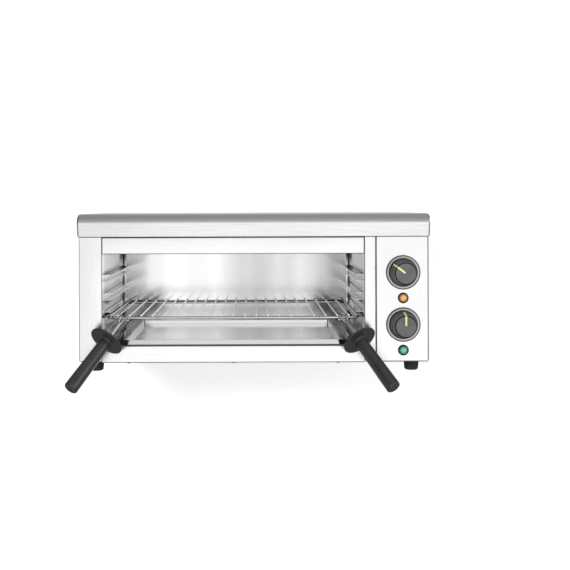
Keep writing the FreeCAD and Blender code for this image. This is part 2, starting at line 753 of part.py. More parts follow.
def element_ends(x):
    """Points where the four element ends cross the plane X = x."""
    level = up(ELEMENT_LEVEL)
    runs = element_runs(FRONT_ELEMENT_Y) + element_runs(REAR_ELEMENT_Y)
    return [Vector(x, y, level) for y in runs]


def heating_element(front):
    """Tube bent like a hairpin, both ends in the control compartment."""
    level = up(ELEMENT_LEVEL)
    near, far = element_runs(front)
    bend = ELEMENT_SPAN / 2
    left = CAVITY_LEFT + ELEMENT_BEND_GAP + bend
    right = PARTITION_X + ELEMENT_TAIL
    runs = [rod(ELEMENT_RADIUS, Vector(left, y, level), Vector(right, y, level)) for y in (near, far)]
    turn = Part.makeTorus(bend, ELEMENT_RADIUS, Vector(0, 0, 0), Z_AXIS, -180, 180, 180)
    turn.rotate(Vector(0, 0, 0), Z_AXIS, 90)
    turn.translate(Vector(left, (near + far) / 2, level))
    return joined(runs + [turn])


def front_element():
    return heating_element(FRONT_ELEMENT_Y)


def rear_element():
    return heating_element(REAR_ELEMENT_Y)


def element_supports():
    """Hanging strips with a hole for each run of the elements."""
    strips = []
    top = up(REFLECTOR_LEVEL)
    for offset in SUPPORT_OFFSETS:
        x = CAVITY_MID + offset
        y0 = back(FRONT_ELEMENT_Y - SUPPORT_END)
        y1 = back(REAR_ELEMENT_Y + ELEMENT_SPAN + SUPPORT_END)
        path = [(x + EDGE_FOLD, top), (x, top), (x, top - SUPPORT_DROP)]
        strip = folded(path, "front", y0, y1)
        strips.append(bored(strip, element_ends(x - 1), ELEMENT_RADIUS + ELEMENT_PLAY, X_AXIS, SHEET + 2))
    return Part.makeCompound(strips)


def element_terminals():
    """Ceramic bush and threaded stud on each element end."""
    ends = []
    for point in element_ends(PARTITION_X + ELEMENT_TAIL):
        shoulder = point + X_AXIS * TERMINAL_LENGTH
        tip = shoulder + X_AXIS * STUD_LENGTH
        ends.append(joined([rod(TERMINAL_RADIUS, point, shoulder), rod(STUD_RADIUS, shoulder, tip)]))
    return Part.makeCompound(ends)


def lamp_body(height):
    """Round bezel on the panel and the lamp's barrel behind it."""
    centre = control_points((height,))[0]
    lip = LENS_RADIUS + LENS_PLAY
    outline_points = [(lip, LAMP_SEAT), (lip, LAMP_RIM), (LAMP_RADIUS - LAMP_RIM / 2, LAMP_RIM),
                      (LAMP_RADIUS, LAMP_RIM / 2), (LAMP_RADIUS, 0), (LAMP_BODY_RADIUS, 0),
                      (LAMP_BODY_RADIUS, -LAMP_DEPTH), (0, -LAMP_DEPTH), (0, LAMP_SEAT)]
    return revolved(outline_points, centre, -Y_AXIS)


def lamp_lens(height):
    """Domed lens seated in the lamp's bezel."""
    centre = control_points((height,), -LAMP_SEAT)[0]
    rise = LENS_RISE
    sphere_radius = (LENS_RADIUS ** 2 + rise ** 2) / (2 * rise)
    dome = Part.makeSphere(sphere_radius, centre + Y_AXIS * (sphere_radius - rise - LENS_RIM))
    barrel = Part.makeCylinder(LENS_RADIUS, LENS_RIM + rise + 1, centre, -Y_AXIS)
    return barrel.common(dome)


def amber_lamp():
    return lamp_body(AMBER_LAMP_HEIGHT)


def green_lamp():
    return lamp_body(GREEN_LAMP_HEIGHT)


def amber_lens():
    return lamp_lens(AMBER_LAMP_HEIGHT)


def green_lens():
    return lamp_lens(GREEN_LAMP_HEIGHT)


def pivot_point(side):
    """Point on the front wire that a handle swings about."""
    return Vector(CAVITY_MID + side * HANDLE_OFFSET, back(GRID_SETBACK), up(GRID_WIRE_LEVEL))


def handle_direction(side, lift):
    """Unit line from the pivot towards the grip, lifted by some degrees about the wire."""
    drop = math.radians(HANDLE_DROP)
    splay = math.radians(HANDLE_SPLAY)
    line = Vector(side * math.sin(splay) * math.cos(drop), -math.cos(splay) * math.cos(drop), -math.sin(drop))
    return FreeCAD.Rotation(-X_AXIS, lift).multVec(line)


def guard_rear(lift):
    """Y of the guard's rearmost rim point at a lift of the handle."""
    line = handle_direction(1, lift)
    rim = GUARD_RADIUS * math.sqrt(1 - line.y ** 2)
    return back(GRID_SETBACK) + line.y * (GUARD_START + GUARD_EDGE / 2) + rim


def resting_lift():
    """Lift at which the guard hangs just clear of the lower front panel."""
    target = back(-LOWER_PANEL_PROUD) - GUARD_GAP
    low, high = -LIFT_SEARCH, LIFT_SEARCH
    for _ in range(LIFT_STEPS):
        middle = (low + high) / 2
        if guard_rear(middle) > target:
            low = middle
        else:
            high = middle
    return (low + high) / 2


def handle_hook(side):
    """Bar bent like a hairpin, its closed end curled over the front wire."""
    pivot = pivot_point(side)
    line = handle_direction(side, resting_lift())
    bar = HOOK_BAR / 2
    curl = GRID_WIRE / 2 + HOOK_PLAY + bar
    mouth = pivot + line * (TUBE_START + TUBE_NOSE / 2)
    reach = Vector(0, mouth.y - pivot.y, mouth.z - pivot.z)
    start_angle = math.degrees(math.atan2(reach.z, -reach.y) + math.acos(curl / reach.Length))
    pieces = []
    ends = []
    for shift in (-HOOK_EYE_SPACING / 2, HOOK_EYE_SPACING / 2):
        centre = pivot + X_AXIS * shift
        start = centre + curl_point(curl, start_angle)
        end = centre + curl_point(curl, HOOK_END_ANGLE)
        ends.append(end)
        section = Part.Face(Part.Wire(Part.Circle(start, curl_tangent(start_angle), bar).toShape()))
        pieces.append(section.revolve(centre, -X_AXIS, HOOK_END_ANGLE - start_angle))
        tip = mouth + X_AXIS * (shift * HOOK_NARROWING)
        overlap = (start - tip).normalize() * HOOK_WELD
        pieces.append(rod(bar + HOOK_SWELL, start + overlap, tip))
    overhang = X_AXIS * (bar + HOOK_OVERHANG)
    pieces.append(rod(bar + HOOK_SWELL, ends[0] - overhang, ends[1] + overhang))
    return joined(pieces)


def curl_point(radius, angle):
    """Point round the front wire, the angle counted up from the front."""
    turn = math.radians(angle)
    return Vector(0, -radius * math.cos(turn), radius * math.sin(turn))


def curl_tangent(angle):
    """Direction of travel round the front wire at an angle."""
    turn = math.radians(angle)
    return Vector(0, math.sin(turn), math.cos(turn))


def handle_tube(side):
    """Steel tube with a closed nose that holds the hook's two legs."""
    pivot = pivot_point(side)
    line = handle_direction(side, resting_lift())
    length = GUARD_START + GRIP_LENGTH - TUBE_END_GAP - TUBE_START
    radius = TUBE_RADIUS
    inner = radius - TUBE_WALL
    profile = [(0, 0), (radius - TUBE_WALL, 0), (radius, TUBE_WALL), (radius, length), (inner, length),
               (inner, TUBE_NOSE), (0, TUBE_NOSE)]
    tube = revolved(profile, pivot + line * TUBE_START, line)
    return tube.cut(handle_hook(side))


def handle_grip(side):
    """Moulded grip with a round guard, bored for the tube."""
    pivot = pivot_point(side)
    line = handle_direction(side, resting_lift())
    bore = TUBE_RADIUS + GRIP_FIT
    end = GRIP_LENGTH
    seat = GRIP_LENGTH - TUBE_END_GAP
    edge = GUARD_EDGE
    profile = [(bore, 0), (GUARD_RADIUS - edge, 0), (GUARD_RADIUS, edge / 2),
               (GUARD_RADIUS, GUARD_THICKNESS - edge / 2), (GUARD_RADIUS - edge, GUARD_THICKNESS),
               (GRIP_NECK_RADIUS + edge, GUARD_THICKNESS), (GRIP_NECK_RADIUS, GUARD_THICKNESS + edge)]
    profile += rounded_rim(GRIP_END_RADIUS, end, GRIP_END_ROUND)
    profile += [(0, end), (0, seat), (bore, seat)]
    return revolved(profile, pivot + line * GUARD_START, line)


def rounded_rim(radius, end, roundness):
    """Profile points that round the outer rim of a turned piece in short tapers."""
    points = []
    for i in range(RIM_STEPS + 1):
        turn = math.radians(90 * i / RIM_STEPS)
        points.append((radius - roundness * (1 - math.cos(turn)), end - roundness * (1 - math.sin(turn))))
    return points


def left_hook():
    return handle_hook(-1)


def right_hook():
    return handle_hook(1)


def left_tube():
    return handle_tube(-1)


def right_tube():
    return handle_tube(1)


def left_grip():
    return handle_grip(-1)


def right_grip():
    return handle_grip(1)


def dial_ring(height):
    """Flat ring behind a knob with a raised outer rim and a raised inner line."""
    hole = BUSH_RADIUS + BUSH_PLAY
    base = BEZEL_THICKNESS - RING_RIM_RISE
    inner = RING_INNER_RADIUS
    profile = [(hole, 0), (BEZEL_RADIUS, 0), (BEZEL_RADIUS, BEZEL_THICKNESS),
               (BEZEL_RADIUS - RING_RIM, BEZEL_THICKNESS),
               (BEZEL_RADIUS - 2 * RING_RIM_RISE - RING_RIM, base),
               (inner + RING_RIM_RISE, base), (inner, BEZEL_THICKNESS), (inner - RING_RIM_RISE, base),
               (hole, base)]
    return revolved(profile, control_points((height,))[0], -Y_AXIS)


def upper_bezel():
    return dial_ring(UPPER_KNOB_HEIGHT)


def lower_bezel():
    return dial_ring(LOWER_KNOB_HEIGHT)


def control_device(height, size, depth):
    """Switch body behind the panel with the bush that its spindle turns in."""
    centre = control_points((height,), SHEET)[0]
    half = size / 2
    low = centre + Vector(-half, 0, -half)
    body = Part.makeBox(size, depth, size, low)
    corners = [e for e in body.Edges if is_along_y(e)]
    body = body.makeFillet(DEVICE_CORNER, corners)
    tip = control_points((height,), -BUSH_REACH)[0]
    body = joined([body, rod(BUSH_RADIUS, centre, tip)])
    tail = control_points((height,), SPINDLE_TAIL)[0]
    return body.cut(rod(SPINDLE_RADIUS + SPINDLE_FIT, tail, tip - Y_AXIS))


def is_along_y(edge):
    """True for an edge that runs along Y."""
    line = edge.Vertexes[-1].Point - edge.Vertexes[0].Point
    return abs(line.x) + abs(line.z) < 1e-6


def timer():
    return control_device(UPPER_KNOB_HEIGHT, TIMER_SIZE, TIMER_DEPTH)


def energy_regulator():
    return control_device(LOWER_KNOB_HEIGHT, REGULATOR_SIZE, REGULATOR_DEPTH)


def control_nuts():
    """Hexagon nut on each bush, in front of the dial ring."""
    nuts = []
    front = RING_RIM_RISE - BEZEL_THICKNESS
    for point in control_points((UPPER_KNOB_HEIGHT, LOWER_KNOB_HEIGHT), front):
        nuts.append(hexagon(NUT_RADIUS, NUT_THICKNESS, point, -Y_AXIS).cut(
            Part.makeCylinder(BUSH_RADIUS + SPINDLE_FIT, NUT_THICKNESS, point, -Y_AXIS)))
    return Part.makeCompound(nuts)


def hexagon(radius, height, base, direction):
    """Six-sided prism standing on a point."""
    corners = [Vector(radius * math.cos(math.radians(60 * i)), radius * math.sin(math.radians(60 * i)), 0)
               for i in range(6)]
    prism = Part.Face(Part.makePolygon(corners + corners[:1])).extrude(Vector(0, 0, height))
    prism.Placement = FreeCAD.Placement(base, FreeCAD.Rotation(Z_AXIS, direction))
    return prism


def knob_side_radius(level):
    """Radius of the knob's tapered side at a distance in front of the panel."""
    foot = BEZEL_THICKNESS + KNOB_GAP + KNOB_SKIRT
    share = (level - foot) / (KNOB_REACH - KNOB_EDGE - foot)
    return KNOB_BASE_RADIUS + (KNOB_TOP_RADIUS - KNOB_BASE_RADIUS) * share


def pointer_bar(height, angle):
    """Inlaid line from the middle of the knob's face, over its edge and down its side."""
    foot = BEZEL_THICKNESS + KNOB_GAP + KNOB_SKIRT + POINTER_FOOT
    top = KNOB_REACH
    out = POINTER_PROUD
    deep = POINTER_DEPTH
    rim = KNOB_TOP_RADIUS
    edge = KNOB_EDGE
    shoulder = knob_side_radius(top - edge)
    path = [(POINTER_START, top + out), (rim - edge, top + out), (shoulder + out, top - edge),
            (knob_side_radius(foot) + out, foot), (knob_side_radius(foot) - deep, foot),
            (shoulder - deep, top - edge - deep), (rim - edge - deep, top - deep),
            (POINTER_START, top - deep)]
    turn = math.radians(angle)
    outward = Vector(-math.sin(turn), 0, math.cos(turn))
    across = outward.cross(-Y_AXIS)
    start = control_points((height,))[0] - across * (POINTER_WIDTH / 2)
    corners = [start + outward * r - Y_AXIS * h for r, h in path]
    return Part.Face(Part.makePolygon(corners + corners[:1])).extrude(across * POINTER_WIDTH)


def knob(height, angle):
    """Tapered hollow knob with a boss for its spindle and a groove for its pointer."""
    foot = BEZEL_THICKNESS + KNOB_GAP
    shell = KNOB_SHELL
    ceiling = KNOB_REACH - KNOB_CEILING
    boss_foot = foot + KNOB_BOSS_GAP
    bore = SPINDLE_RADIUS + SPINDLE_FIT
    profile = [(KNOB_BASE_RADIUS - shell, foot), (KNOB_BASE_RADIUS, foot),
               (KNOB_BASE_RADIUS, foot + KNOB_SKIRT)]
    profile += rounded_rim(KNOB_TOP_RADIUS, KNOB_REACH, KNOB_EDGE)
    profile += [(0, KNOB_REACH), (0, SPINDLE_REACH), (bore, SPINDLE_REACH), (bore, boss_foot),
                (KNOB_BOSS_RADIUS, boss_foot),
               (KNOB_BOSS_RADIUS, ceiling), (knob_side_radius(ceiling) - shell, ceiling)]
    body = revolved(profile, control_points((height,))[0], -Y_AXIS)
    return body.cut(pointer_bar(height, angle))


def upper_knob():
    return knob(UPPER_KNOB_HEIGHT, UPPER_POINTER_ANGLE)


def lower_knob():
    return knob(LOWER_KNOB_HEIGHT, LOWER_POINTER_ANGLE)


def upper_pointer():
    return pointer_bar(UPPER_KNOB_HEIGHT, UPPER_POINTER_ANGLE)


def lower_pointer():
    return pointer_bar(LOWER_KNOB_HEIGHT, LOWER_POINTER_ANGLE)


def spindle(height):
    """Round spindle from the device behind the panel into the knob's boss."""
    tail, tip = control_points((height,), SPINDLE_TAIL)[0], control_points((height,), -SPINDLE_REACH)[0]
    return rod(SPINDLE_RADIUS, tail, tip)


def upper_spindle():
    return spindle(UPPER_KNOB_HEIGHT)


def lower_spindle():
    return spindle(LOWER_KNOB_HEIGHT)


def feet():
    """Tapered rubber feet with a recess for their screws."""
    low = -FOOT_HEIGHT
    bottom = FOOT_RADIUS - FOOT_TAPER
    profile = [(FOOT_SCREW_HOLE, 0), (FOOT_RADIUS, 0), (bottom + FOOT_EDGE / 4, low + FOOT_EDGE),
               (bottom - FOOT_EDGE, low), (FOOT_RECESS_RADIUS, low), (FOOT_RECESS_RADIUS, -FOOT_WEB),
               (FOOT_SCREW_HOLE, -FOOT_WEB)]
    return Part.makeCompound([revolved(profile, point, Z_AXIS) for point in foot_points(up(0))])


def foot_screws():
    """Screw and nut that hold each foot to the base plate."""
    pieces = []
    for point in foot_points(up(-FOOT_WEB)):
        top = Vector(point.x, point.y, up(SHEET + NUT_HEIGHT + 1))
        head = Part.makeCylinder(FOOT_SCREW_HEAD, NUT_HEIGHT, point, -Z_AXIS)
        nut_seat = Vector(point.x, point.y, up(SHEET))
        pieces.append(joined([head, rod(FOOT_SCREW_RADIUS, point, top),
                              hexagon(FOOT_NUT_RADIUS, NUT_HEIGHT, nut_seat, Z_AXIS)]))
    return Part.makeCompound(pieces)


def domed_screws(points, inwards, length=SCREW_LENGTH):
    """Pan-head screws whose heads seat on these points."""
    screws = []
    for point in points:
        profile = [(0, -length), (SCREW_RADIUS, -length), (SCREW_RADIUS, 0), (SCREW_HEAD_RADIUS, 0),
                   (SCREW_HEAD_RADIUS, SCREW_HEAD_HEIGHT / 2),
                   (SCREW_HEAD_RADIUS * math.sqrt(0.5), SCREW_HEAD_HEIGHT), (0, SCREW_HEAD_HEIGHT)]
        screws.append(revolved(profile, point, -inwards))
    return Part.makeCompound(screws)


def bottom_screws():
    return domed_screws(panel_screw_points(up(-SHEET)), Z_AXIS)


def hood_screws():
    left = domed_screws(hood_screw_points(-HALF_WIDTH - SHEET), X_AXIS)
    right = domed_screws(hood_screw_points(HALF_WIDTH + SHEET), -X_AXIS)
    return Part.makeCompound(left.Solids + right.Solids)


def rail_screw_points(y):
    """Places of the screws that hold the hanging rail, on the plane Y = y."""
    return [Vector(x, y, CLEAT_SHELF + RAIL_SCREW_RISE) for x in RAIL_SCREW_XS]


def rear_screw_points(y):
    """Places of the screws that hold the rear panel to the side sheets."""
    across = HALF_WIDTH - EDGE_FOLD / 2
    return [Vector(x, y, up(height)) for x in (-across, across) for height in REAR_SCREW_HEIGHTS]


def rail_screws():
    return domed_screws(rail_screw_points(REAR_Y + BRACKET_SHEET), -Y_AXIS)


def rear_screws():
    return domed_screws(rear_screw_points(REAR_Y), -Y_AXIS)


def wall_bracket():
    """Plate for the wall, its upper edge stepped out and up to carry the grill."""
    half = BRACKET_WIDTH / 2
    step = -CLEAT_REACH + BRACKET_SHEET
    shelf = CLEAT_SHELF + BRACKET_SHEET
    foot = -WALL_SPACING_Z / 2 - BRACKET_MARGIN
    path = [(0, foot), (0, shelf), (step, shelf), (step, CLEAT_SHELF + CLEAT_LIP)]
    plate = folded(path, "side", -half, half, BRACKET_SHEET)
    return bored(plate, wall_hole_points(), WALL_HOLE_RADIUS, Y_AXIS, BRACKET_SHEET + 2)


def wall_hole_points():
    """Places of the four wall holes, just in front of the wall bracket."""
    across = WALL_SPACING_X / 2
    high = WALL_SPACING_Z / 2
    return [Vector(x, -BRACKET_SHEET - 1, z) for x in (-across, across) for z in (-high, high)]


def hanging_rail():
    """Hooked rail on the rear panel that drops over the wall bracket."""
    half = BRACKET_WIDTH / 2
    seat = CLEAT_SHELF + CLEAT_LIP
    top = seat + BRACKET_SHEET
    lip = -CLEAT_REACH + 2 * BRACKET_SHEET + CLEAT_PLAY
    path = [(lip, CLEAT_SHELF + BRACKET_SHEET + CLEAT_LIP_GAP), (lip, top), (REAR_Y, top),
            (REAR_Y, top - RAIL_PLATE_DROP)]
    plate = folded(path, "side", -half, half, BRACKET_SHEET)
    return bored(plate, rail_screw_points(REAR_Y - 1), SMALL_SCREW_HOLE, Y_AXIS, BRACKET_SHEET + 2)


def rear_buffers():
    """Rubber buffers that keep the lower edge parallel to the wall."""
    return Part.makeCompound([
        rod(BUFFER_RADIUS, Vector(x, REAR_Y, up(BUFFER_HEIGHT)), Vector(x, 0, up(BUFFER_HEIGHT)))
        for x in (-BUFFER_X, BUFFER_X)])


def cable_gland():
    """Gland under the control compartment with a clear bore for a supply cord."""
    seat = gland_point(up(0))
    flange = hexagon(GLAND_HEX_RADIUS, GLAND_HEX, seat, -Z_AXIS)
    cap = rod(GLAND_THREAD_RADIUS + SHEET, seat, seat - Z_AXIS * GLAND_REACH)
    thread = rod(GLAND_THREAD_RADIUS, seat, seat + Z_AXIS * GLAND_INSIDE)
    nut = hexagon(GLAND_HEX_RADIUS, GLAND_HEX, seat + Z_AXIS * SHEET, Z_AXIS)
    body = joined([flange, cap, thread, nut])
    mouth = seat - Z_AXIS * (GLAND_REACH + 1)
    return body.cut(rod(GLAND_BORE_RADIUS, mouth, seat + Z_AXIS * (GLAND_INSIDE + 1)))


def terminal_block():
    """Ceramic block with a row of cable channels, standing on the base plate."""
    width = TERMINAL_POLES * TERMINAL_PITCH
    low = Vector(KNOB_X - width / 2, REAR_Y - TERMINAL_FROM_REAR, up(SHEET))
    body = Part.makeBox(width, TERMINAL_DEPTH, TERMINAL_HEIGHT, low)
    body = body.makeFillet(DEVICE_CORNER, [e for e in body.Edges if is_upright(e)])
    for i in range(TERMINAL_POLES):
        x = low.x + (i + 0.5) * TERMINAL_PITCH
        entry = Vector(x, low.y - 1, low.z + TERMINAL_HEIGHT / 2)
        body = body.cut(Part.makeCylinder(TERMINAL_BORE, TERMINAL_DEPTH + 2, entry, Y_AXIS))
    for i in range(TERMINAL_POLES - 1):
        x = low.x + (i + 1) * TERMINAL_PITCH
        notch = block(x - SHEET / 2, x + SHEET / 2, low.y - 1, low.y + TERMINAL_DEPTH + 1,
                      low.z + TERMINAL_HEIGHT * 0.7, low.z + TERMINAL_HEIGHT + 1)
        body = body.cut(notch)
    return body


def earth_stud():
    """Earth stud with its nut, standing on the base plate."""
    foot = Vector(KNOB_X - EARTH_OFFSET, REAR_Y - TERMINAL_FROM_REAR, up(SHEET))
    stud = rod(FOOT_SCREW_RADIUS, foot, foot + Z_AXIS * EARTH_HEIGHT)
    return joined([stud, hexagon(FOOT_NUT_RADIUS, NUT_HEIGHT, foot, Z_AXIS)])


NODES = [
    top_cover, left_side_panel, right_side_panel, right_post, lintel_panel, lower_front_panel,
    control_panel, base_plate, rear_panel, compartment_wall, cavity_left_wall, cavity_right_wall,
    cavity_back_wall, cavity_floor, heat_reflector, left_tray_guide, right_tray_guide, left_rails,
    right_rails, front_element, rear_element, element_supports, element_terminals, amber_lamp,
    amber_lens, green_lamp, green_lens, upper_bezel, lower_bezel, timer, energy_regulator,
    control_nuts, terminal_block, earth_stud, cable_gland, feet, foot_screws, bottom_screws,
    hood_screws, rear_screws, rail_screws, wall_bracket, hanging_rail, rear_buffers, grid_frame,
    grid_wires, crumb_tray, left_hook, left_tube, left_grip, right_hook, right_tube, right_grip,
    upper_knob, upper_pointer, upper_spindle, lower_knob, lower_pointer, lower_spindle,
]

os.makedirs("parts", exist_ok=True)
for make in NODES:
    make().exportStep(os.path.join("parts", make.__name__ + ".step"))
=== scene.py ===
"""Looks of the wall-mounted salamander grill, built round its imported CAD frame."""

import logging
import math
from dataclasses import dataclass, field, replace
from enum import Enum
from functools import cached_property
from typing import Callable, Iterable, Sequence

import bmesh
import bpy
from mathutils import Matrix, Vector


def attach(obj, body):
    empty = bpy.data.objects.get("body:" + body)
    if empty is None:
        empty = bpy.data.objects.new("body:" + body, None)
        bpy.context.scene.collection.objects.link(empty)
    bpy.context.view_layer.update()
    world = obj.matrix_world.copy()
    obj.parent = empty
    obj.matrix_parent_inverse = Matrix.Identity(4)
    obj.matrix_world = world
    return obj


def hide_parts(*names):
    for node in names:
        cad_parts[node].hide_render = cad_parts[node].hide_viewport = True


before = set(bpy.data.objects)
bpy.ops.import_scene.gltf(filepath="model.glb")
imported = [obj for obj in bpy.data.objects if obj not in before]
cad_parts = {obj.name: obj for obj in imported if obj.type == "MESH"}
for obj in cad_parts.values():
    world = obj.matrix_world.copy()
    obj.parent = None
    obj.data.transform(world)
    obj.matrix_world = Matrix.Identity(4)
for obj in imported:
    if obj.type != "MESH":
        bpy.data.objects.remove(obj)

log = logging.getLogger("salamander")
MM = 0.001
Span = tuple[float, float]
Triple = tuple[float, float, float]
Rgb = Triple
BMesh = bmesh.types.BMesh
Object = bpy.types.Object
NodeTree = bpy.types.NodeTree
Node = bpy.types.Node
Socket = bpy.types.NodeSocket
Profile = Sequence[Span]


class Grain(Enum):
    """Direction in which a sheet was brushed, as how fast its grain changes along X, Y and Z."""

    ALONG_X = (0.02, 1.0, 1.0)
    ALONG_Y = (1.0, 0.02, 1.0)
    ALONG_Z = (1.0, 1.0, 0.02)
    NONE = (1.0, 1.0, 1.0)


class Side(Enum):
    """Side of the grill that one of a pair belongs to."""

    LEFT = -1
    RIGHT = 1


class Graph:
    """Short-hand for the nodes of a material, a group or the world."""

    def __init__(self, tree: NodeTree) -> None:
        """Starts from an empty tree."""
        self.tree = tree
        self.tree.nodes.clear()

    def node(self, kind: str, inputs: dict | None = None, **settings: object) -> Node:
        """Adds a node.

        Args:
            kind: the node's type name after "ShaderNode", or its whole name.
            inputs: values or output sockets for its inputs, by name or place.
            settings: attributes of the node.

        Returns:
            The new node.
        """
        whole = kind if kind.startswith(("Node", "ShaderNode")) else "ShaderNode" + kind
        made = self.tree.nodes.new(whole)
        for name, value in settings.items():
            setattr(made, name, value)
        self.feed(made, inputs or {})
        return made

    def feed(self, node: Node, inputs: dict) -> None:
        """Sets a node's inputs.

        Args:
            node: the node.
            inputs: values or output sockets for its inputs, by place, or by name with "_" or a space.
        """
        for key, value in inputs.items():
            socket = node.inputs[key.replace("_", " ") if isinstance(key, str) else key]
            if isinstance(value, Socket):
                self.tree.links.new(value, socket)
            else:
                socket.default_value = value

    def noise(self, place: object, scale: object, **settings: float) -> Socket:
        """Adds a noise texture that is read at a place, and returns its value from 0 to 1."""
        return self.node("TexNoise", {"Vector": place, "Scale": scale, **settings}).outputs["Fac"]

    def math(self, operation: str, *values: object) -> Socket:
        """Adds a Math node and returns its result."""
        return self.node("Math", dict(enumerate(values)), operation=operation).outputs[0]

    def mix(self, share: object, first: object, second: object) -> Socket:
        """Mixes two colours or colour sockets by the second one's share."""
        return self.node("Mix", {0: share, 6: first, 7: second}, data_type="RGBA").outputs[2]

    def ramp(self, value: Socket, low: float, high: float, start: float = 0.0,
             end: float = 1.0) -> Socket:
        """Maps a value smoothly from low and high to start and end, and clamps it."""
        return self.node("MapRange", {0: value, 1: low, 2: high, 3: start, 4: end},
                         interpolation_type="SMOOTHSTEP").outputs[0]


class MaterialGraph(Graph):
    """Nodes of a material: its shader, its output and the Object coordinates."""

    def __init__(self, tree: NodeTree) -> None:
        """Starts from a Principled BSDF.

        Args:
            tree: the material's nodes.
        """
        super().__init__(tree)
        self.shader = self.node("BsdfPrincipled")
        self.output = self.node("OutputMaterial", {"Surface": self.shader.outputs[0]})
        self.place = self.node("TexCoord").outputs["Object"]

    def shade(self, colour: Socket, rough: object, **inputs: object) -> None:
        """Feeds the shader's colour, roughness and other inputs."""
        self.feed(self.shader, {"Base Color": colour, "Roughness": rough, **inputs})

    def group(self, tree: NodeTree, **inputs: object) -> bpy.types.NodeOutputs:
        """Places a shared group that is read at the Object coordinates.

        Args:
            tree: the group.
            inputs: its other inputs, by name with "_" for a space.

        Returns:
            The group's outputs.
        """
        made = self.node("Group", node_tree=tree)
        self.feed(made, {"Vector": self.place, **inputs})
        return made.outputs

    def reach_from(self, centre: Span) -> tuple[Socket, Socket]:
        """Measures from an axis that runs along Y.

        Args:
            centre: X and Z of the axis.

        Returns:
            The offset from the axis, and its length.
        """
        moved = self.node("VectorMath", {0: self.place, 1: (centre[0], 0.0, centre[1])},
                          operation="SUBTRACT").outputs[0]
        flat = self.node("VectorMath", {0: moved, 1: (1.0, 0.0, 1.0)}, operation="MULTIPLY").outputs[0]
        return flat, self.node("VectorMath", {0: flat}, operation="LENGTH").outputs["Value"]

    def relief(self, height: Socket, strength: float, depth: float) -> None:
        """Bends the normals by a height from 0 to 1 that stands for a depth in metres."""
        bump = self.node("Bump", {"Strength": strength, "Distance": depth, "Height": height})
        self.feed(self.shader, {"Normal": bump.outputs[0]})


def grey(level: float) -> Rgb:
    """Neutral colour of a level."""
    return (level, level, level)


def rgba(colour: Rgb, share: float = 1.0) -> tuple[float, float, float, float]:
    """Colour with full opacity, darkened to a share of it."""
    return (*(c * share for c in colour), 1.0)


class GroupShelf:
    """Shader node groups that several finishes share, each built when it is first asked for."""

    grain_edge: Span = (0.3, 0.7)
    smear_edge: Span = (0.42, 0.68)
    spot_edge: Span = (0.16, 0.04)
    sheen_edge: Span = (0.35, 0.65)
    sheen_scale: float = 45.0

    @staticmethod
    def start(name: str, inputs: dict[str, float | Triple],
              outputs: Iterable[str]) -> tuple[Graph, bpy.types.NodeOutputs, Node]:
        """Makes an empty group that is read at a place.

        Args:
            name: the group's name.
            inputs: default value of each input besides the place, by name.
            outputs: names of its outputs.

        Returns:
            The group's graph, its inputs' sockets and its output node.
        """
        tree = bpy.data.node_groups.new(name, "ShaderNodeTree")
        for label, value in {"Vector": (0.0, 0.0, 0.0), **inputs}.items():
            kind = "NodeSocketVector" if isinstance(value, tuple) else "NodeSocketFloat"
            tree.interface.new_socket(name=label, in_out="INPUT", socket_type=kind).default_value = value
        for label in outputs:
            tree.interface.new_socket(name=label, in_out="OUTPUT", socket_type="NodeSocketFloat")
        graph = Graph(tree)
        return graph, graph.node("NodeGroupInput").outputs, graph.node("NodeGroupOutput")

    @cached_property
    def brushed_grain(self) -> NodeTree:
        """Fine lines and wider bands of a brushed sheet, stretched along its grain.

        Returns:
            The group.
        """
        graph, given, out = self.start(
            "brushed_grain", {"Stretch": (1.0, 1.0, 1.0), "Fine Scale": 900.0, "Band Scale": 60.0},
            ("Lines", "Bands"))
        place = graph.node("VectorMath", {0: given["Vector"], 1: given["Stretch"]},
                           operation="MULTIPLY").outputs[0]
        lines = graph.noise(place, given["Fine Scale"], Detail=3.0, Roughness=0.65)
        bands = graph.noise(place, given["Band Scale"], Detail=2.0, Roughness=0.5)
        graph.feed(out, {"Lines": graph.ramp(lines, *self.grain_edge),
                         "Bands": graph.ramp(bands, *self.grain_edge)})
        return graph.tree

    @cached_property
    def handling_marks(self) -> NodeTree:
        """Soft wiped smears and a few sharper spots, as on a kitchen appliance in use.

        Returns:
            The group.
        """
        graph, given, out = self.start("handling_marks", {"Smear Scale": 9.0, "Spot Scale": 140.0},
                                       ("Smears", "Spots"))
        smears = graph.noise(given["Vector"], given["Smear Scale"], Detail=4.0, Roughness=0.55,
                             Distortion=0.6)
        spots = graph.node("TexVoronoi", {"Vector": given["Vector"], "Scale": given["Spot Scale"]},
                           feature="F1").outputs["Distance"]
        graph.feed(out, {"Smears": graph.ramp(smears, *self.smear_edge),
                         "Spots": graph.ramp(spots, *self.spot_edge)})
        return graph.tree

    @cached_property
    def moulded_skin(self) -> NodeTree:
        """Spark-eroded skin of a moulding: close pits with a slow change of sheen.

        Returns:
            The group.
        """
        graph, given, out = self.start("moulded_skin", {"Pit Scale": 1800.0}, ("Pits", "Sheen"))
        pits = graph.node("TexVoronoi", {"Vector": given["Vector"], "Scale": given["Pit Scale"]},
                          feature="SMOOTH_F1").outputs["Distance"]
        slow = graph.noise(given["Vector"], self.sheen_scale, Detail=3.0, Roughness=0.5)
        graph.feed(out, {"Pits": pits, "Sheen": graph.ramp(slow, *self.sheen_edge)})
        return graph.tree


GROUPS = GroupShelf()


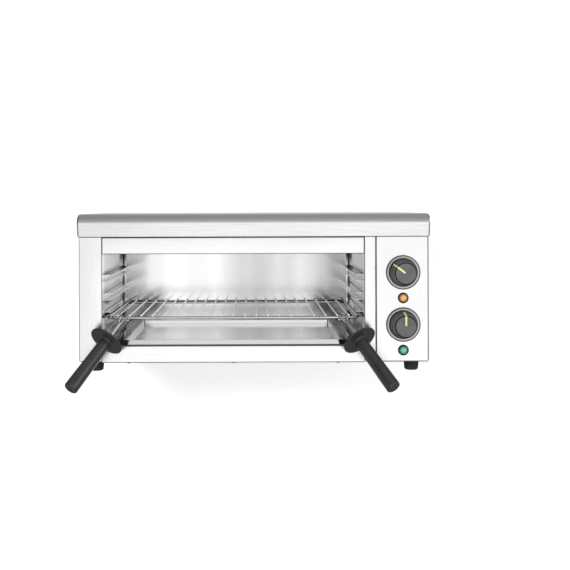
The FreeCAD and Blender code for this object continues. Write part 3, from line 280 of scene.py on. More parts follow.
@dataclass(frozen=True)
class Finish:
    """A finish with its own material. Each kind says how its nodes are laid out."""

    name: str

    def material(self) -> bpy.types.Material:
        """Material of this finish, made the first time that it is asked for.

        Returns:
            The material.
        """
        known = bpy.data.materials.get(self.name)
        if known is not None:
            return known
        made = bpy.data.materials.new(self.name)
        made.use_nodes = True
        self.lay_out(MaterialGraph(made.node_tree))
        return made

    def lay_out(self, graph: MaterialGraph) -> None:
        """Lays out the nodes that feed the shader of a material's graph."""
        raise NotImplementedError


@dataclass(frozen=True)
class SheetSteel(Finish):
    """Stainless or zinc-plated sheet: grain, bands, smears and a little dulling in the spots."""

    tone: Rgb
    grain: Grain = Grain.ALONG_X
    roughness: float = 0.26
    grain_depth: float = 0.05
    band_depth: float = 0.012
    band_share: float = 0.5
    smear_depth: float = 0.04
    spot_share: float = 0.8
    relief: float = 0.05
    relief_depth: float = 0.02 * MM
    fine_scale: float = 900.0
    band_scale: float = 60.0

    def lay_out(self, graph: MaterialGraph) -> None:
        """Feeds colour, roughness and relief from the grain and the marks of use.

        Args:
            graph: the material's graph.
        """
        grain = graph.group(GROUPS.brushed_grain, Stretch=self.grain.value, Fine_Scale=self.fine_scale,
                            Band_Scale=self.band_scale)
        marks = graph.group(GROUPS.handling_marks)
        base = graph.mix(grain["Lines"], rgba(self.tone, 1 - 2 * self.grain_depth), rgba(self.tone))
        # The bands darken the colour; on most sheets they are brushing, on the back wall they are painted
        # reflections.
        colour = graph.mix(graph.math("MULTIPLY", grain["Bands"], self.band_share), base,
                           rgba(self.tone, 1 - 2 * self.band_depth))
        rough = graph.math("MULTIPLY_ADD", grain["Lines"], -self.grain_depth,
                           self.roughness + self.grain_depth / 2)
        rough = graph.math("MULTIPLY_ADD", marks["Smears"], self.smear_depth, rough)
        rough = graph.math("MULTIPLY_ADD", marks["Spots"], self.smear_depth * self.spot_share, rough)
        graph.shade(colour, rough, Metallic=1.0)
        graph.relief(grain["Lines"], self.relief, self.relief_depth)


@dataclass(frozen=True)
class Wire(Finish):
    """Chromed or polished bar with faint water marks and a duller skin in places."""

    tone: Rgb
    roughness: float = 0.12
    smear_scale: float = 60.0
    spot_scale: float = 420.0
    worn: float = 0.86
    smear_depth: float = 0.10
    spot_depth: float = 0.08

    def lay_out(self, graph: MaterialGraph) -> None:
        """Feeds roughness and a slight change of colour from the marks.

        Args:
            graph: the material's graph.
        """
        marks = graph.group(GROUPS.handling_marks, Smear_Scale=self.smear_scale,
                            Spot_Scale=self.spot_scale)
        colour = graph.mix(marks["Smears"], rgba(self.tone), rgba(self.tone, self.worn))
        rough = graph.math("MULTIPLY_ADD", marks["Smears"], self.smear_depth, self.roughness)
        rough = graph.math("MULTIPLY_ADD", marks["Spots"], self.spot_depth, rough)
        graph.shade(colour, rough, Metallic=1.0)


@dataclass(frozen=True)
class Moulding(Finish):
    """Satin plastic or rubber with a spark-eroded skin."""

    tone: Rgb
    roughness: float = 0.42
    sheen_change: float = 0.10
    pit_scale: float = 1800.0
    relief: float = 0.25
    relief_depth: float = 0.04 * MM
    coat: float = 0.0
    specular: float = 0.5
    pale_share: float = 1.25
    pale_lift: float = 0.004

    def lay_out(self, graph: MaterialGraph) -> None:
        """Feeds colour, roughness and relief from the moulded skin.

        Args:
            graph: the material's graph.
        """
        skin = graph.group(GROUPS.moulded_skin, Pit_Scale=self.pit_scale)
        pale = rgba(tuple(min(1.0, c * self.pale_share + self.pale_lift) for c in self.tone))
        rough = graph.math("MULTIPLY_ADD", skin["Sheen"], self.sheen_change, self.roughness)
        graph.shade(graph.mix(skin["Sheen"], rgba(self.tone), pale), rough, Coat_Weight=self.coat,
                    Specular_IOR_Level=self.specular)
        graph.relief(skin["Pits"], self.relief, self.relief_depth)


@dataclass(frozen=True)
class StainedSkin(Finish):
    """Skin with slow stains and a fine tooth, as of scorched metal or unglazed ceramic."""

    tone: Rgb
    stained: Rgb
    roughness: float
    stain_scale: float
    stain_edge: Span
    tooth_scale: float
    relief: float
    relief_depth: float
    stain_detail: float = 3.0
    tooth_detail: float = 3.0
    tooth_rough: float = 0.0
    metallic: float = 0.0

    def lay_out(self, graph: MaterialGraph) -> None:
        """Feeds the colour from the stains, and roughness and relief from the tooth.

        Args:
            graph: the material's graph.
        """
        stains = graph.noise(graph.place, self.stain_scale, Detail=self.stain_detail)
        tooth = graph.noise(graph.place, self.tooth_scale, Detail=self.tooth_detail)
        colour = graph.mix(graph.ramp(stains, *self.stain_edge), rgba(self.tone), rgba(self.stained))
        rough = graph.math("MULTIPLY_ADD", tooth, self.tooth_rough, self.roughness)
        graph.shade(colour, rough, Metallic=self.metallic)
        graph.relief(tooth, self.relief, self.relief_depth)


@dataclass(frozen=True)
class LampLens(Finish):
    """Domed coloured lens that glows a little, with fine prisms; its middle is painted lighter than its
    rim as a highlight.
    """

    tone: Rgb
    rim_tone: Rgb
    centre: Span
    radius: float = 7.2 * MM
    highlight_core: float = 0.45
    glow_reach: float = 0.8
    glow: float = 0.10
    roughness: float = 0.12
    coat: float = 0.6
    prism_scale: float = 620.0
    relief: float = 0.35
    relief_depth: float = 0.2 * MM

    def lay_out(self, graph: MaterialGraph) -> None:
        """Feeds the colour from the distance to the lens' middle, lighter in the middle as a painted
        highlight, and the relief from its prisms.

        Args:
            graph: the material's graph.
        """
        flat, reach = graph.reach_from(self.centre)
        # Painted highlight: the lens' tone in the middle, darkening to the rim tone outwards.
        rim = graph.ramp(reach, self.radius * self.highlight_core, self.radius)
        fading = graph.ramp(reach, 0.0, self.radius * self.glow_reach)
        graph.shade(graph.mix(rim, rgba(self.tone), rgba(self.rim_tone)), self.roughness,
                    Emission_Color=graph.mix(fading, rgba(self.tone), rgba(grey(0.0))),
                    Emission_Strength=self.glow, Coat_Weight=self.coat)
        prisms = graph.node("TexVoronoi", {"Vector": flat, "Scale": self.prism_scale})
        graph.relief(prisms.outputs["Distance"], self.relief, self.relief_depth)


@dataclass(frozen=True)
class TurnedMetal(Finish):
    """Metal turned on a lathe, so its fine lines run round the axis of the piece."""

    tone: Rgb = (0.62, 0.62, 0.62)
    centre: Span = (0.0, 0.0)
    pitch: float = 0.35 * MM
    line_edge: Span = (0.3, 0.7)
    line_share: float = 0.8
    roughness: float = 0.28
    rough_change: float = 0.12
    relief: float = 0.2
    relief_depth: float = 0.02 * MM

    def lay_out(self, graph: MaterialGraph) -> None:
        """Feeds colour, roughness and relief from rings round the centre.

        Args:
            graph: the material's graph.
        """
        _, reach = graph.reach_from(self.centre)
        rings = graph.node("TexNoise", {"W": graph.math("DIVIDE", reach, self.pitch), "Scale": 1.0,
                                        "Detail": 3.0, "Roughness": 0.7},
                           noise_dimensions="1D").outputs["Fac"]
        lines = graph.ramp(rings, *self.line_edge)
        colour = graph.mix(lines, rgba(self.tone, self.line_share), rgba(self.tone))
        rough = graph.math("MULTIPLY_ADD", lines, self.rough_change, self.roughness)
        graph.shade(colour, rough, Metallic=1.0)
        graph.relief(lines, self.relief, self.relief_depth)


@dataclass(frozen=True)
class StagePaint(Finish):
    """White matt paint of the studio, which only the camera sees, and only from its front."""

    tone: Rgb = (0.94, 0.94, 0.94)
    glow: float = 0.42
    roughness: float = 0.95
    mottle: float = 1.01
    mottle_scale: float = 2.0

    def lay_out(self, graph: MaterialGraph) -> None:
        """Feeds the colour from a slow mottle and lets all but the camera's rays through.

        Args:
            graph: the material's graph.
        """
        slow = graph.noise(graph.place, self.mottle_scale, Detail=2.0)
        graph.shade(graph.mix(slow, rgba(self.tone), rgba(self.tone, self.mottle)), self.roughness,
                    Emission_Color=rgba(grey(1.0)), Emission_Strength=self.glow, Specular_IOR_Level=0.0)
        front = graph.math("SUBTRACT", 1.0, graph.node("NewGeometry").outputs["Backfacing"])
        seen = graph.math("MULTIPLY", graph.node("LightPath").outputs["Is Camera Ray"], front)
        clear = graph.node("BsdfTransparent").outputs[0]
        mixed = graph.node("MixShader", {0: seen, 1: clear, 2: graph.shader.outputs[0]}).outputs[0]
        graph.feed(graph.output, {"Surface": mixed})


PANEL = SheetSteel("satin_panel_sheet", tone=grey(0.93), roughness=0.24, grain_depth=0.02, relief=0.03)
POST = SheetSteel("satin_post_sheet", tone=grey(0.92), grain=Grain.ALONG_Z, roughness=0.24,
                  grain_depth=0.02, relief=0.03)
HOOD = SheetSteel("brushed_hood_sheet", tone=grey(0.84), roughness=0.24, grain_depth=0.06, relief=0.08)
SIDE = SheetSteel("satin_side_sheet", tone=grey(0.84), grain=Grain.ALONG_Y, roughness=0.27)
LINER = SheetSteel("bright_liner_sheet", tone=grey(0.88), roughness=0.11, grain_depth=0.03,
                   smear_depth=0.05, relief=0.02)
# Back wall: the deep, wide vertical bands are painted reflections of the surroundings in the polished
# sheet, not grain.
BACK_WALL = SheetSteel("bright_back_sheet_painted_reflections", tone=grey(0.98), grain=Grain.ALONG_Z, roughness=0.15,
                       grain_depth=0.01, band_depth=0.40, band_scale=9.0, smear_depth=0.04, relief=0.02)
LINER_WALL = SheetSteel("bright_wall_sheet", tone=grey(0.50), grain=Grain.ALONG_Y, roughness=0.08,
                        grain_depth=0.02, smear_depth=0.03, relief=0.01)
RUNNER = SheetSteel("folded_runner_sheet", tone=grey(0.80), grain=Grain.ALONG_Y, roughness=0.10,
                    grain_depth=0.02, relief=0.02)
PAN = SheetSteel("tray_sheet", tone=grey(0.97), roughness=0.08, grain_depth=0.03, band_depth=0.03,
                 smear_depth=0.02, relief=0.03)
# Front lip of the tray: the tray's own sheet, painted darker as shade.
PAN_LIP_SHADED = replace(PAN, name="shaded_tray_lip_sheet", tone=grey(0.60), roughness=0.12)
ZINC = SheetSteel("zinc_plated_sheet", tone=(0.60, 0.62, 0.64), grain=Grain.NONE, roughness=0.42,
                  grain_depth=0.08, band_depth=0.14, smear_depth=0.10, fine_scale=320.0)
FIXING = Wire("bright_fixings", tone=(0.74, 0.74, 0.75), roughness=0.24)
GRID_WIRE = Wire("chromed_grid_wire", tone=grey(0.86), roughness=0.13)
HOOK_BAR = Wire("polished_hook_bar", tone=grey(0.84), roughness=0.16)
TUBE = SheetSteel("satin_tube_steel", tone=grey(0.80), grain=Grain.NONE, roughness=0.36, grain_depth=0.05,
                  fine_scale=600.0)
GRIP = Moulding("black_grip_moulding", tone=(0.022, 0.023, 0.024), roughness=0.28, relief=0.15,
                specular=1.0)
KNOB = Moulding("charcoal_knob_moulding", tone=(0.085, 0.085, 0.086), roughness=0.30, relief=0.10,
                coat=0.15)
# Knob face: a rougher matt skin, painted a lighter grey than the side as light falling on the face.
KNOB_LIT_FACE = Moulding("lit_grey_knob_face", tone=grey(0.125), roughness=0.55, relief=0.20)
# Near-black outline of the knob's face and base: painted shade.
KNOB_EDGE_SHADE = Moulding("painted_shade_knob_edge", tone=grey(0.012), roughness=0.45, relief=0.10, specular=0.25)
# Near-black band on the dial ring's outer edge: painted shade.
RING_RIM_SHADE = Moulding("painted_shade_ring_rim", tone=grey(0.06), roughness=0.30, relief=0.05)
POINTER = Moulding("lime_pointer_inlay", tone=(0.84, 0.92, 0.34), roughness=0.38, relief=0.05,
                   pit_scale=900.0)
# Near-black grey of the seam strips: painted shade for the shadow in the gaps and under the edges.
SEAM_SHADE = Moulding("grey_painted_seam_shade", tone=(0.07, 0.07, 0.072), roughness=0.55, relief=0.10)
RUBBER = Moulding("black_rubber", tone=grey(0.022), roughness=0.62, sheen_change=0.15, relief=0.45,
                  pit_scale=1300.0, specular=0.35)
DEVICE = Moulding("black_device_moulding", tone=(0.035, 0.035, 0.037), roughness=0.5)
LAMP_BODY = Moulding("black_lamp_moulding", tone=grey(0.012), roughness=0.34, relief=0.08,
                     sheen_change=0.06, specular=0.3)
HEATED = StainedSkin("scorched_element_sheath", tone=grey(0.17), stained=(0.26, 0.17, 0.11),
                     roughness=0.35, metallic=1.0, stain_scale=26.0, stain_edge=(0.38, 0.66),
                     stain_detail=4.0, tooth_scale=900.0, tooth_detail=2.0, tooth_rough=0.25,
                     relief=0.2, relief_depth=0.05 * MM)
BUSH = StainedSkin("element_bush_ceramic", tone=(0.82, 0.79, 0.72), stained=(0.574, 0.553, 0.504),
                   roughness=0.7, stain_scale=90.0, stain_edge=(0.5, 0.8), tooth_scale=1400.0,
                   relief=0.3, relief_depth=0.1 * MM)
STAGE = StagePaint("studio_white_paint")

CABINET = "cabinet"
FRONT = -300.0 * MM
CAVITY_MIDDLE = -35.75 * MM
CONTROLS_X = 260.3 * MM
WELD_REACH = 2e-6
TURNED_WELD = 1e-7
FLAT_ANGLE = 0.4
HARD_ANGLE = 35.0
SOLID_ANGLE = 32.0
TRIM_ANGLE = 60.0
ROUNDING_FACES = 2


def merged(node: str) -> BMesh:
    """Copy of a CAD node's mesh with its loose triangles joined and its flat areas made whole faces.

    Args:
        node: the CAD node's name.

    Returns:
        The copy, which the caller turns into a piece.
    """
    mesh = bmesh.new()
    mesh.from_mesh(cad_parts[node].data)
    bmesh.ops.remove_doubles(mesh, verts=mesh.verts, dist=WELD_REACH)
    bmesh.ops.dissolve_limit(mesh, angle_limit=math.radians(FLAT_ANGLE), verts=mesh.verts,
                             edges=mesh.edges)
    return mesh


def turned(profile: Profile, steps: int) -> BMesh:
    """Solid of revolution about the Z axis.

    Args:
        profile: radius and height of each point, along the outline.
        steps: faces round the axis.

    Returns:
        The closed mesh with its normals outwards.
    """
    mesh = bmesh.new()
    points = [mesh.verts.new((radius, 0.0, height)) for radius, height in profile]
    edges = [mesh.edges.new(pair) for pair in zip(points, points[1:])]
    bmesh.ops.spin(mesh, geom=points + edges, cent=(0, 0, 0), axis=(0, 0, 1), dvec=(0, 0, 0),
                   angle=math.tau, steps=steps, use_merge=True, use_duplicate=False)
    bmesh.ops.remove_doubles(mesh, verts=mesh.verts, dist=TURNED_WELD)
    bmesh.ops.holes_fill(mesh, edges=[e for e in mesh.edges if e.is_boundary], sides=0)
    bmesh.ops.recalc_face_normals(mesh, faces=mesh.faces)
    return mesh


def rounded(profile: Profile, radius: float, steps: int = 4) -> list[Span]:
    """Profile whose inner corners are rounded.

    Args:
        profile: corner points of the outline.
        radius: largest radius of a rounded corner.
        steps: points put in for each corner.

    Returns:
        The outline with arcs for corners; its two ends stay.
    """
    made = [profile[0]]
    for before, corner, after in zip(profile, profile[1:], profile[2:]):
        here = Vector(corner)
        back, ahead = Vector(before) - here, Vector(after) - here
        reach = min(radius, back.length / 2, ahead.length / 2)
        start, end = here + back.normalized() * reach, here + ahead.normalized() * reach
        for i in range(steps + 1):
            share = i / steps
            point = start.lerp(here, share).lerp(here.lerp(end, share), share)
            made.append((point.x, point.y))
    return made + [profile[-1]]


def bar(xs: Span, ys: Span, zs: Span, edge: float) -> BMesh:
    """Straight bar with rounded edges.

    Args:
        xs: its ends along X.
        ys: its ends along Y.
        zs: its ends along Z.
        edge: width of the rounding.

    Returns:
        The bar's mesh.
    """
    mesh = bmesh.new()
    low, high = (Vector(corner) for corner in zip(xs, ys, zs))
    size = Matrix.Diagonal((*(high - low), 1.0))
    bmesh.ops.create_cube(mesh, size=1.0, matrix=Matrix.Translation((low + high) / 2) @ size)
    bmesh.ops.bevel(mesh, geom=list(mesh.edges), offset=edge, segments=ROUNDING_FACES, profile=0.5,
                    affect="EDGES", material=-1)
    return mesh


def stood(mesh: BMesh, origin: Vector, axis: Vector) -> BMesh:
    """Moves a mesh that was built about the Z axis.

    Args:
        mesh: the mesh.
        origin: where its origin goes.
        axis: where its Z axis points.

    Returns:
        The same mesh.
    """
    turn = Vector((0, 0, 1)).rotation_difference(axis).to_matrix().to_4x4()
    bmesh.ops.transform(mesh, matrix=Matrix.Translation(origin) @ turn, verts=mesh.verts)
    return mesh


def joined(meshes: Iterable[BMesh]) -> BMesh:
    """Joins meshes into one.

    Args:
        meshes: the meshes, which are freed.

    Returns:
        The joined mesh.
    """
    whole = bmesh.new()
    for part in meshes:
        carrier = bpy.data.meshes.new("carrier")
        part.to_mesh(carrier)
        part.free()
        whole.from_mesh(carrier)
        bpy.data.meshes.remove(carrier)
    return whole


def sharpened(mesh: BMesh, angle: float) -> None:
    """Marks a mesh smooth with hard edges.

    Args:
        mesh: the mesh.
        angle: angle between faces, in degrees, from which their edge is hard.
    """
    limit = math.radians(angle)
    for face in mesh.faces:
        face.smooth = True
    for edge in mesh.edges:
        edge.smooth = edge.is_manifold and edge.calc_face_angle(math.pi) < limit


def linked(name: str, mesh: BMesh, finish: Finish) -> Object:
    """Makes a mesh into an object of the scene.

    Args:
        name: the object's name.
        mesh: its mesh, which is freed.
        finish: what it is finished in.

    Returns:
        The new object.
    """
    data = bpy.data.meshes.new(name)
    mesh.to_mesh(data)
    mesh.free()
    data.materials.append(finish.material())
    made = bpy.data.objects.new(name, data)
    bpy.context.scene.collection.objects.link(made)
    return made


def piece(name: str, mesh: BMesh, finish: Finish, body: str,
          nodes: Sequence[str] = (), edge: float = 0.0, hard: float = HARD_ANGLE) -> Object:
    """Turns a mesh into a finished piece that rides on a body.

    Args:
        name: the piece's name.
        mesh: its mesh in the row frame, which is freed.
        finish: what it is finished in.
        body: the CAD body that it moves with.
        nodes: CAD nodes that it stands for.
        edge: width of the rounding on its edges, in metres; 0 leaves them sharp.
        hard: angle in degrees from which an edge is rounded or hard.

    Returns:
        The new object.
    """
    sharpened(mesh, hard)
    made = linked(name, mesh, finish)
    if edge > 0:
        rounding = made.modifiers.new("edge_rounding", "BEVEL")
        rounding.width = edge
        rounding.segments = ROUNDING_FACES
        rounding.limit_method = "ANGLE"
        rounding.angle_limit = math.radians(hard)
        rounding.use_clamp_overlap = True
        rounding.harden_normals = True
    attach(made, body)
    if nodes:
        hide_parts(*nodes)
    log.info("%s rides on %s, %d faces", name, body, len(made.data.polygons))
    return made


def second_finish(made: Object, finish: Finish, chosen: Callable[[Vector], bool]) -> None:
    """Gives some faces of a piece another finish.

    Args:
        made: the piece.
        finish: the other finish.
        chosen: tells from a face's centre whether the face gets it.
    """
    made.data.materials.append(finish.material())
    place = len(made.data.materials) - 1
    for face in made.data.polygons:
        if chosen(face.center):
            face.material_index = place


def finished_node(node: str, finish: Finish) -> None:
    """Gives a CAD node its finish and shades its curves smoothly.

    Args:
        node: the CAD node's name.
        finish: what it is finished in.
    """
    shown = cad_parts[node]
    shown.data.materials.clear()
    shown.data.materials.append(finish.material())
    shown.data.polygons.foreach_set("use_smooth", [True] * len(shown.data.polygons))
    weld = shown.modifiers.new("weld", "WELD")
    weld.merge_threshold = WELD_REACH
    split = shown.modifiers.new("hard_edges", "EDGE_SPLIT")
    split.split_angle = math.radians(SOLID_ANGLE)
    log.info("%s keeps its solid", node)


def dressed_node(node: str, finish: Finish, body: str, edge: float) -> Object:
    """Stands in for a CAD node with the same form, its edges rounded by a width in metres."""
    return piece(f"{node}_skin", merged(node), finish, body, (node,), edge)


@dataclass
class Casing:
    """Outer sheets: hood, sides, posts, lintel, front panels, and the sheets behind them."""

    fold_edge: float = 0.25 * MM
    hood_angle: float = 30.0
    panels: dict[str, Finish] = field(default_factory=lambda: {
        "left_side_panel": POST, "right_side_panel": SIDE, "right_post": POST, "lintel_panel": PANEL,
        "lower_front_panel": PANEL, "control_panel": POST})
    hidden: tuple[str, ...] = ("base_plate", "rear_panel", "compartment_wall", "wall_bracket",
                               "hanging_rail")

    def build(self) -> None:
        """Builds the skins of the visible sheets and finishes the rest."""
        piece("hood_skin", merged("top_cover"), HOOD, CABINET, ("top_cover",),
              self.fold_edge, self.hood_angle)
        for node, finish in self.panels.items():
            dressed_node(node, finish, CABINET, self.fold_edge)
        for node in self.hidden:
            finished_node(node, ZINC)


@dataclass
class SeamShades:
    """Dark strips in the joints between the front sheets and along their edges: painted shade for the
    shadow in the gaps and under the edges.
    """

    half_width: float = 0.305
    hood_seam: Span = (66.8 * MM, 68.7 * MM)
    lintel: Span = (37.8 * MM, 67.0 * MM)
    opening: Span = (-264.3 * MM, 192.8 * MM)
    opening_shift: float = 0.2 * MM
    post_seam: Span = (213.1 * MM, 214.5 * MM)
    post_recess: float = 0.2 * MM
    foot: float = -148.8 * MM
    lower_top: float = -121.5 * MM
    # Strip in the gap under the tray's front lip: painted shadow.
    sill: Span = (-122.2 * MM, -120.06 * MM)
    sill_width: Span = (-262.0 * MM, 190.5 * MM)
    sill_front: float = -301.6 * MM
    # Strip along the right edge: painted shade on its rounded corner.
    right_edge: Span = (302.9 * MM, 304.5 * MM)
    edge_front: float = -300.1 * MM
    edge_shade_width: float = 1.0 * MM
    # Strips under the lower edges of the front: painted shadow below the body.
    bottom_edges: tuple[tuple[Span, float, float], ...] = (
        ((-303.0 * MM, -264.8 * MM), -148.8 * MM, -300.1 * MM),
        ((-263.0 * MM, 191.5 * MM), -151.0 * MM, -301.6 * MM),
        ((193.5 * MM, 304.0 * MM), -150.6 * MM, -300.1 * MM))
    shade_width: float = 1.7 * MM
    proud: float = 0.12 * MM
    depth: float = 1.0 * MM
    rounding: float = 0.1 * MM

    def strip(self, xs: Span, zs: Span, front: float) -> BMesh:
        """Dark strip of painted shade between two ends along X and along Z, with its face at Y = front."""
        return bar(xs, (front, front + self.depth), zs, self.rounding)

    def build(self) -> None:
        """Lays the strips of painted shade and joins them into one piece."""
        upright = (self.foot, self.lintel[1])
        shade_strips = [self.strip((-self.half_width, self.half_width), self.hood_seam, FRONT),
                 self.strip(self.post_seam, upright, FRONT + self.post_recess),
                 self.strip(self.sill_width, self.sill, self.sill_front),
                 self.strip(self.right_edge, upright, self.edge_front)]
        for x, shift in zip(self.opening, (self.opening_shift, -self.opening_shift)):
            xs = (x - self.shade_width / 2 + shift, x + self.shade_width / 2 + shift)
            for zs in (self.lintel, (self.foot, self.lower_top)):
                shade_strips.append(self.strip(xs, zs, FRONT - self.proud))
        for xs, low, front in self.bottom_edges:
            shade_strips.append(self.strip(xs, (low, low + self.edge_shade_width), front))
        piece("painted_seam_shade_strips", joined(shade_strips), SEAM_SHADE, CABINET, hard=TRIM_ANGLE)


@dataclass
class Cavity:
    """Bright liner, its runners, the tray guides and the heat reflector."""

    fold_edge: float = 0.2 * MM
    strips: tuple[Span, ...] = ((-264.9 * MM, -260.2 * MM), (188.7 * MM, 193.4 * MM))
    strip_depth: Span = (-41.05 * MM, -40.05 * MM)
    strip_height: Span = (-120.2 * MM, 56.9 * MM)
    strip_rounding: float = 0.15 * MM
    sheets: dict[str, Finish] = field(default_factory=lambda: {
        "cavity_left_wall": LINER_WALL, "cavity_right_wall": LINER_WALL, "cavity_floor": LINER,
        "heat_reflector": LINER, "left_tray_guide": LINER_WALL, "right_tray_guide": LINER_WALL,
        "left_rails": RUNNER, "right_rails": RUNNER})

    def build(self) -> None:
        """Builds the sheets' skins and the strips that cover the back wall's folds."""
        bars = [bar(xs, self.strip_depth, self.strip_height, self.strip_rounding) for xs in self.strips]
        piece("corner_strips", joined(bars), BACK_WALL, CABINET, hard=TRIM_ANGLE)
        piece("back_wall_skin", merged("cavity_back_wall"), BACK_WALL, CABINET,
              ("cavity_back_wall",), self.fold_edge)
        for node, finish in self.sheets.items():
            dressed_node(node, finish, CABINET, self.fold_edge)


@dataclass
class Grid:
    """Sliding grid of chromed wire and the crumb tray below it."""

    wires_each_side: int = 10
    pitch: float = 20.2 * MM
    ends: Span = (-0.291, -0.051)
    level: float = -70.9 * MM
    weld_radius: float = 1.55 * MM
    weld_shape: Triple = (1.25, 1.0, 0.6)
    tray_inside: Span = (-221.5 * MM, 150.0 * MM)
    tray_front: float = -298.8 * MM
    tray_edge: float = 0.2 * MM

    def welds(self) -> BMesh:
        """Flattened weld nuggets where the cross wires lie on the frame wire.

        Returns:
            Their mesh.
        """
        mesh = bmesh.new()
        shape = Matrix.Diagonal((*self.weld_shape, 1.0))
        for i in range(-self.wires_each_side, self.wires_each_side + 1):
            for end in self.ends:
                place = Matrix.Translation((CAVITY_MIDDLE + i * self.pitch, end, self.level))
                bmesh.ops.create_icosphere(mesh, subdivisions=2, radius=self.weld_radius,
                                           matrix=place @ shape)
        return mesh

    def build(self) -> None:
        """Finishes the wires and builds the welds and the tray's skin."""
        for node in ("grid_frame", "grid_wires"):
            finished_node(node, GRID_WIRE)
        piece("grid_welds", self.welds(), GRID_WIRE, "grid", hard=TRIM_ANGLE)
        tray = dressed_node("crumb_tray", PAN, "crumb_tray_body", self.tray_edge)
        left, right = self.tray_inside
        # The tray's ends take the darker wall steel as a painted reflection of the cavity's sides, and its
        # front lip takes the darker copy of its sheet as painted shade.
        second_finish(tray, LINER_WALL, lambda place: not left < place.x < right)
        second_finish(tray, PAN_LIP_SHADED, lambda place: place.y < self.tray_front)


@dataclass
class Handle:
    """Swinging handle: bent hook, steel tube and moulded grip with a round guard."""

    side: Side
    offset: float = 191.9 * MM
    wire: Span = (-0.291, -0.0742)
    splay: float = 34.7
    drop: float = 38.5
    lift: float = -0.8169
    guard_start: float = 53.8 * MM
    guard_radius: float = 30.6 * MM
    guard_thickness: float = 3.0 * MM
    guard_faces: Span = (0.6, 0.55)
    neck_radius: float = 10.8 * MM
    neck_length: float = 9.0 * MM
    end_radius: float = 12.1 * MM
    end_length: float = 12.0 * MM
    length: float = 109.0 * MM
    pull: float = 0.2 * MM
    recess: float = 1.2 * MM
    recess_radii: Span = (5.535 * MM, 4.674 * MM)
    bore: float = 5.35 * MM
    bore_depth: float = 97.0 * MM
    rounding: float = 4.2 * MM
    rounding_steps: int = 6
    turned_steps: int = 96

    @property
    def name(self) -> str:
        """Side's name as the nodes use it."""
        return self.side.name.lower()

    def pivot(self) -> Vector:
        """Point on the grid's front wire that the handle hangs on."""
        return Vector((CAVITY_MIDDLE + self.side.value * self.offset, *self.wire))

    def line(self) -> Vector:
        """Unit vector from the pivot along the grip.

        Returns:
            The vector.
        """
        drop, splay = math.radians(self.drop), math.radians(self.splay)
        level = Vector((self.side.value * math.sin(splay) * math.cos(drop),
                        -math.cos(splay) * math.cos(drop), -math.sin(drop)))
        return Matrix.Rotation(math.radians(self.lift), 3, Vector((-1, 0, 0))) @ level

    def grip_profile(self) -> list[Span]:
        """Outline of the grip: guard, rounded neck, swelling body and rounded end with a recess.

        Returns:
            Radius and height of its points.
        """
        thick, end, floor = self.guard_thickness, self.length - self.pull, self.length - self.recess
        rear, face = (self.guard_radius * share for share in self.guard_faces)
        outline = [(self.bore, self.bore_depth), (self.bore, 0.0), (self.neck_radius, 0.0), (rear, 0.0),
                   (self.guard_radius, 0.0), (self.guard_radius, thick), (face, thick),
                   (self.neck_radius, thick), (self.neck_radius, thick + self.neck_length),
                   (self.end_radius, self.length - self.end_length), (self.end_radius, end),
                   (self.recess_radii[0], end), (self.recess_radii[1], floor), (0.0, floor)]
        return rounded(outline, self.rounding, self.rounding_steps)

    def build(self) -> None:
        """Builds the grip and finishes the hook and the tube."""
        finished_node(f"{self.name}_hook", HOOK_BAR)
        finished_node(f"{self.name}_tube", TUBE)
        line = self.line()
        grip = turned([(0.0, self.bore_depth)] + self.grip_profile(), self.turned_steps)
        stood(grip, self.pivot() + line * self.guard_start, line)
        piece(f"{self.name}_grip_moulding", grip, GRIP, f"{self.name}_handle",
              (f"{self.name}_grip",), hard=TRIM_ANGLE)


